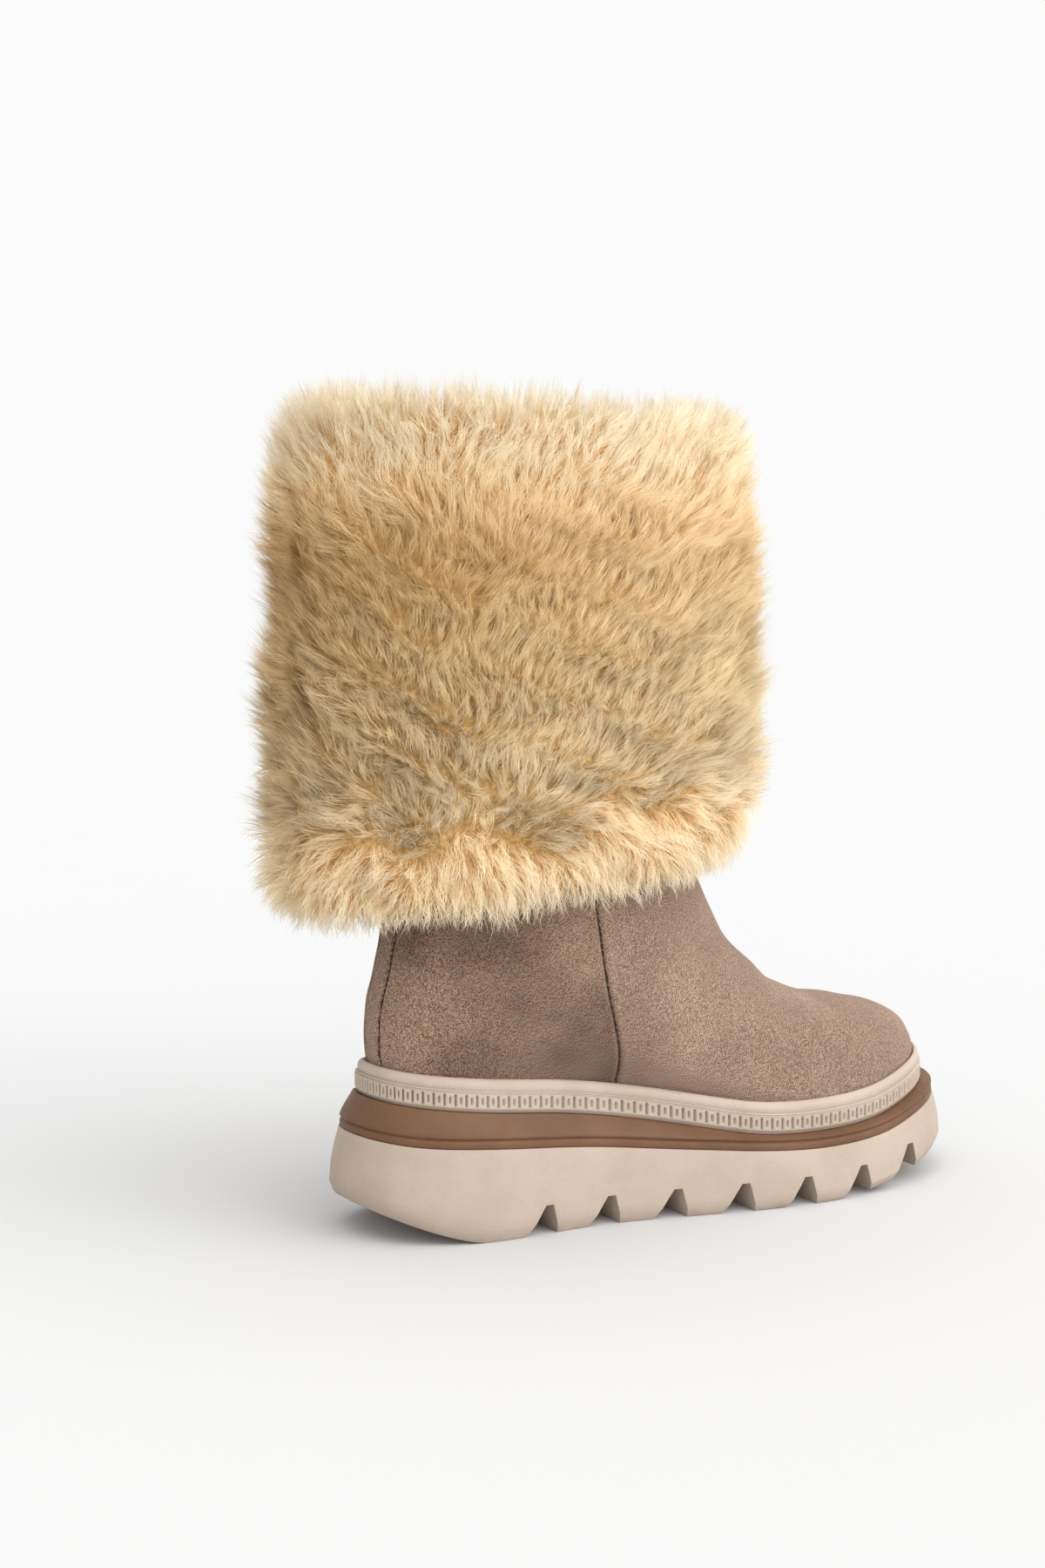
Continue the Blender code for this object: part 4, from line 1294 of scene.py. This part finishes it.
@lru_cache(maxsize=None)
def locks():
    """Every lock of wool: its place in the pattern, its root, its frame and its curve."""
    draw = np.random.default_rng(7)
    rows = round(pelt_path()[1] / LOCK_SPACING)
    columns = round(even_turns()[2] / LOCK_SPACING)
    shape = (rows, columns)
    share = (np.arange(columns) + draw.uniform(0.1, 0.9, shape)) / columns
    run = (np.arange(rows)[:, None] + draw.uniform(0.1, 0.9, shape)) / rows
    share = share.ravel()
    run = run.ravel()
    turn = turn_at(share)
    place, normal, aside, down = pelt_frame(turn, run)
    flow = lock_flow(turn, run, aside, down, draw)
    curve = lock_curve(turn, run, share, normal, flow, draw)
    tone = draw.normal(0, 1, len(run))
    pinch = np.clip(LOCK_PINCH + PINCH_UNEVEN * tone, 0.15, 0.92)
    return Locks(shape, share, run, place, normal, flow, curve, tone, pinch)


def nearest_locks(share, run):
    """Index of the lock that each root belongs to."""
    data = locks()
    rows, columns = data.shape
    row = np.clip((run * rows).astype(int), 0, rows - 1)
    column = (share * columns).astype(int) % columns
    best = np.full(len(run), np.inf)
    chosen = np.zeros(len(run), int)
    for i in (-1, 0, 1):
        for j in (-1, 0, 1):
            index = np.clip(row + i, 0, rows - 1) * columns + (column + j) % columns
            aside = (data.share[index] - share + 0.5) % 1.0 - 0.5
            distance = (aside * even_turns()[2]) ** 2 + ((data.run[index] - run) * pelt_path()[1]) ** 2
            closer = distance < best
            best = np.where(closer, distance, best)
            chosen = np.where(closer, index, chosen)
    return chosen


def strand_paths(run, lock, offset, normal, stray, joints, draw):
    """Joints of every strand, drawn in towards the middle of its lock."""
    data = locks()
    count = len(run)
    pinch = np.clip(data.pinch[lock] + draw.normal(0, 0.15, count), 0, 0.93) * ~stray
    reach = draw.uniform(0.74, 1.06, count) + 0.08 * stray
    drift = np.clip(draw.normal(0, 1, (count, 3)), -DRIFT_LIMIT, DRIFT_LIMIT)
    drift = drift * np.where(stray, STRAY_DRIFT, LOCK_DRIFT)[:, None]
    wave = draw.uniform(0, 2 * np.pi, count)
    wavy = CRIMP + HEM_CRIMP * ease((run - CRIMP_FROM) / CRIMP_FADE)
    crimp = wavy[:, None] * unit(np.cross(data.normal[lock], data.flow[lock]))
    path = []
    for index in joints:
        mark = STATIONS[index]
        centre = data.curve[lock, index] * reach[:, None]
        point = data.place[lock] + centre + offset * (1 - pinch * mark ** 1.3)[:, None] + drift * mark
        point = point + crimp * (mark * np.sin(6.0 * mark + wave))[:, None]
        path.append(point - normal * ROOT_SINK * (1 - mark))
    return np.stack(path, axis=1)


def ribbons(path, outward, stray, marks, draw):
    """Corners and triangles of a tapered ribbon along every path, and the way that each ribbon faces."""
    count = len(path)
    tangent = unit(np.gradient(path, axis=1))
    flat = unit(np.cross(tangent, outward[:, None, :]))
    face = np.cross(flat, tangent)
    twist = draw.normal(0, 0.3, count)[:, None, None]
    across = (flat * np.cos(twist) + face * np.sin(twist))[:, :-1]
    width = STRAND_WIDTH * draw.uniform(0.65, 1.25, count) * np.where(stray, 0.55, 1.0)
    half = (width[:, None] * (1 - STRAND_TAPER * marks[:-1]) / 2)[..., None]
    pairs = np.stack((path[:, :-1] - across * half, path[:, :-1] + across * half), axis=2)
    points = np.concatenate((pairs.reshape(count, -1, 3), path[:, -1:]), axis=1)
    corners = points.shape[1]
    pattern = []
    for low in range(0, corners - 3, 2):
        pattern += [(low, low + 1, low + 3), (low, low + 3, low + 2)]
    pattern.append((corners - 3, corners - 2, corners - 1))
    faces = np.arange(count)[:, None, None] * corners + np.array(pattern)
    return points.reshape(-1, 3), faces.reshape(-1, 3), face


def strand_pale(turn, run, lock, front, draw):
    """How pale each strand is: by the table, by its lock, in soft patches and paler at the front; the table's
    pale crest and the paler front are partly painted light.
    """
    pale = smooth_value(NAP, "pale", run) + LOCK_PALER * locks().tone[lock]
    pale += draw.normal(0, PALE_UNEVEN, len(run))
    patches = 0.03 * ripple(turn, run, 61, 8) + 0.04 * ripple(turn, run, 67, 60)
    return np.clip(pale + FRONT_PALER_AND_LIT * front + patches, 0, 1)[:, None]


def make_strands(group, material):
    """Wool strands as fine tapered ribbons, drawn together into locks."""
    draw = np.random.default_rng(group.seed)
    marks = np.array(STATIONS)[list(group.joints)]
    run = draw.uniform(*group.runs, group.count)
    share = draw.uniform(*group.shares, group.count) % 1.0
    turn = turn_at(share)
    lock = nearest_locks(share, run)
    root, normal, _, _ = pelt_frame(turn, run)
    offset = root - locks().place[lock]
    outward = locks().normal[lock]
    stray = draw.random(group.count) < STRAY_SHARE
    path = strand_paths(run, lock, offset, normal, stray, group.joints, draw)
    points, faces, face = ribbons(path, outward, stray, marks, draw)
    mesh = new_mesh(group.name, points, faces)

    joint = np.append(np.repeat(np.arange(len(marks) - 1), 2), len(marks) - 1)
    shading = 0.8 * (outward + offset / LOCK_SPACING)[:, None, :] + 0.15 * face
    shading[..., 2] += SHADING_LIFT * ease((run - HANG_FROM) / LIFT_FADE)[:, None]
    mesh.normals_split_custom_set_from_vertices(unit(shading)[:, joint].reshape(-1, 3))

    # Painted light: paler towards the front and sides, partly the wool's own paler tone there
    front = ease((off_back(turn) - FRONT_FROM) / FRONT_FADE)
    # Painted shade: the tone pulled towards the darker root below the crest and more at the back, partly the
    # wool's own colour
    deep = smooth_value(NAP, "deep", run) * (1 + BACK_DEEPER_AND_SHADED * (1 - front))
    tip = marks[joint] + draw.normal(0, TIP_SHADE_UNEVEN, group.count)[:, None]
    tip = np.clip(tip - deep[:, None], 0, 1)
    pale = strand_pale(turn, run, lock, front, draw)
    set_attribute(mesh, "tip", tip)
    set_attribute(mesh, "pale", np.broadcast_to(pale, tip.shape))
    sides = np.append(np.tile((-0.5, 0.5), len(marks) - 1), 0.0)
    chart = (CHART_EDGE + CHART_SIZE * pale + CHART_WIDTH * sides, CHART_EDGE + CHART_SIZE * tip)
    chart = np.stack(chart, axis=-1).reshape(-1, 2)
    layer = mesh.uv_layers.new(name="OFBake")
    layer.data.foreach_set("uv", chart[faces.ravel()].astype(np.float32).ravel())
    add_piece(mesh, material, "wool")


def make_floor():
    """Plain pale floor under the boot."""
    half = FLOOR_HALF
    points = ((-half, -half, 0), (half, -half, 0), (half, half, 0), (-half, half, 0))
    mesh = bpy.data.meshes.new("floor")
    mesh.from_pydata(points, [], [(0, 1, 2, 3)])
    floor = add_object(mesh)
    finish = Finish("floor_white", 0.8, 0.0)
    finish.color(finish.mix(finish.noise(3.0), (0.583, 0.583, 0.583), (0.590, 0.590, 0.590)))
    mesh.materials.append(finish.material)


def make_light():
    """White studio: broad soft light from above, from the toe and from the outer side, in a pale surround."""
    for row in LIGHTS:
        light = bpy.data.lights.new(row.name, "SUN")
        light.energy = row.power
        light.angle = np.radians(row.softness)
        add_object(light).rotation_euler = Vector(row.toward).to_track_quat("Z", "Y").to_euler()
    world = bpy.data.worlds.new("studio")
    bpy.context.scene.world = world
    world.use_nodes = True
    tree = world.node_tree
    backdrop = tree.nodes["Background"]
    backdrop.inputs["Color"].default_value = (1.0, 1.0, 1.0, 1.0)
    ray = tree.nodes.new("ShaderNodeLightPath")
    level = tree.nodes.new("ShaderNodeMapRange")
    level.inputs["To Min"].default_value = SURROUND
    level.inputs["To Max"].default_value = BACKDROP
    tree.links.new(ray.outputs["Is Camera Ray"], level.inputs["Value"])
    tree.links.new(level.outputs[0], backdrop.inputs["Strength"])


def make_camera():
    """The photo's view of the boot."""
    data = bpy.data.cameras.new("camera")
    data.lens = CAMERA_LENS
    data.sensor_width = CAMERA_SENSOR
    data.sensor_fit = "AUTO"
    data.clip_start = 0.05
    camera = add_object(data)
    camera.location = CAMERA_PLACE
    aim = Vector(CAMERA_TARGET) - Vector(CAMERA_PLACE)
    camera.rotation_euler = aim.to_track_quat("-Z", "Y").to_euler()
    bpy.context.scene.camera = camera


def main():
    make_camera()
    make_floor()
    make_light()
    cream = rubber_material("cream_rubber", (0.398, 0.318, 0.256), (0.432, 0.350, 0.286), 0.62)
    ivory = rubber_material("ivory_rubber", (0.430, 0.352, 0.280), (0.466, 0.386, 0.312), 0.55)
    tan = rubber_material("tan_rubber", (0.130, 0.062, 0.030), (0.154, 0.076, 0.037), 0.5)
    fleece = pelt_material("fleece", (0.60, 0.46, 0.29), (0.80, 0.67, 0.48), 420.0)
    matted = pelt_material("matted_wool", (0.60, 0.36, 0.13), (0.74, 0.48, 0.21), 500.0)
    make_outsole(cream)
    make_midsole(tan)
    make_band(ivory)
    make_bead(ivory)
    make_insole(fleece)
    make_upper(suede_material())
    make_lining(fleece)
    make_pelt(matted)
    strands = strand_material()
    for group in GROUPS:
        make_strands(group, strands)
    bpy.context.scene.view_settings.view_transform = "Standard"


main()
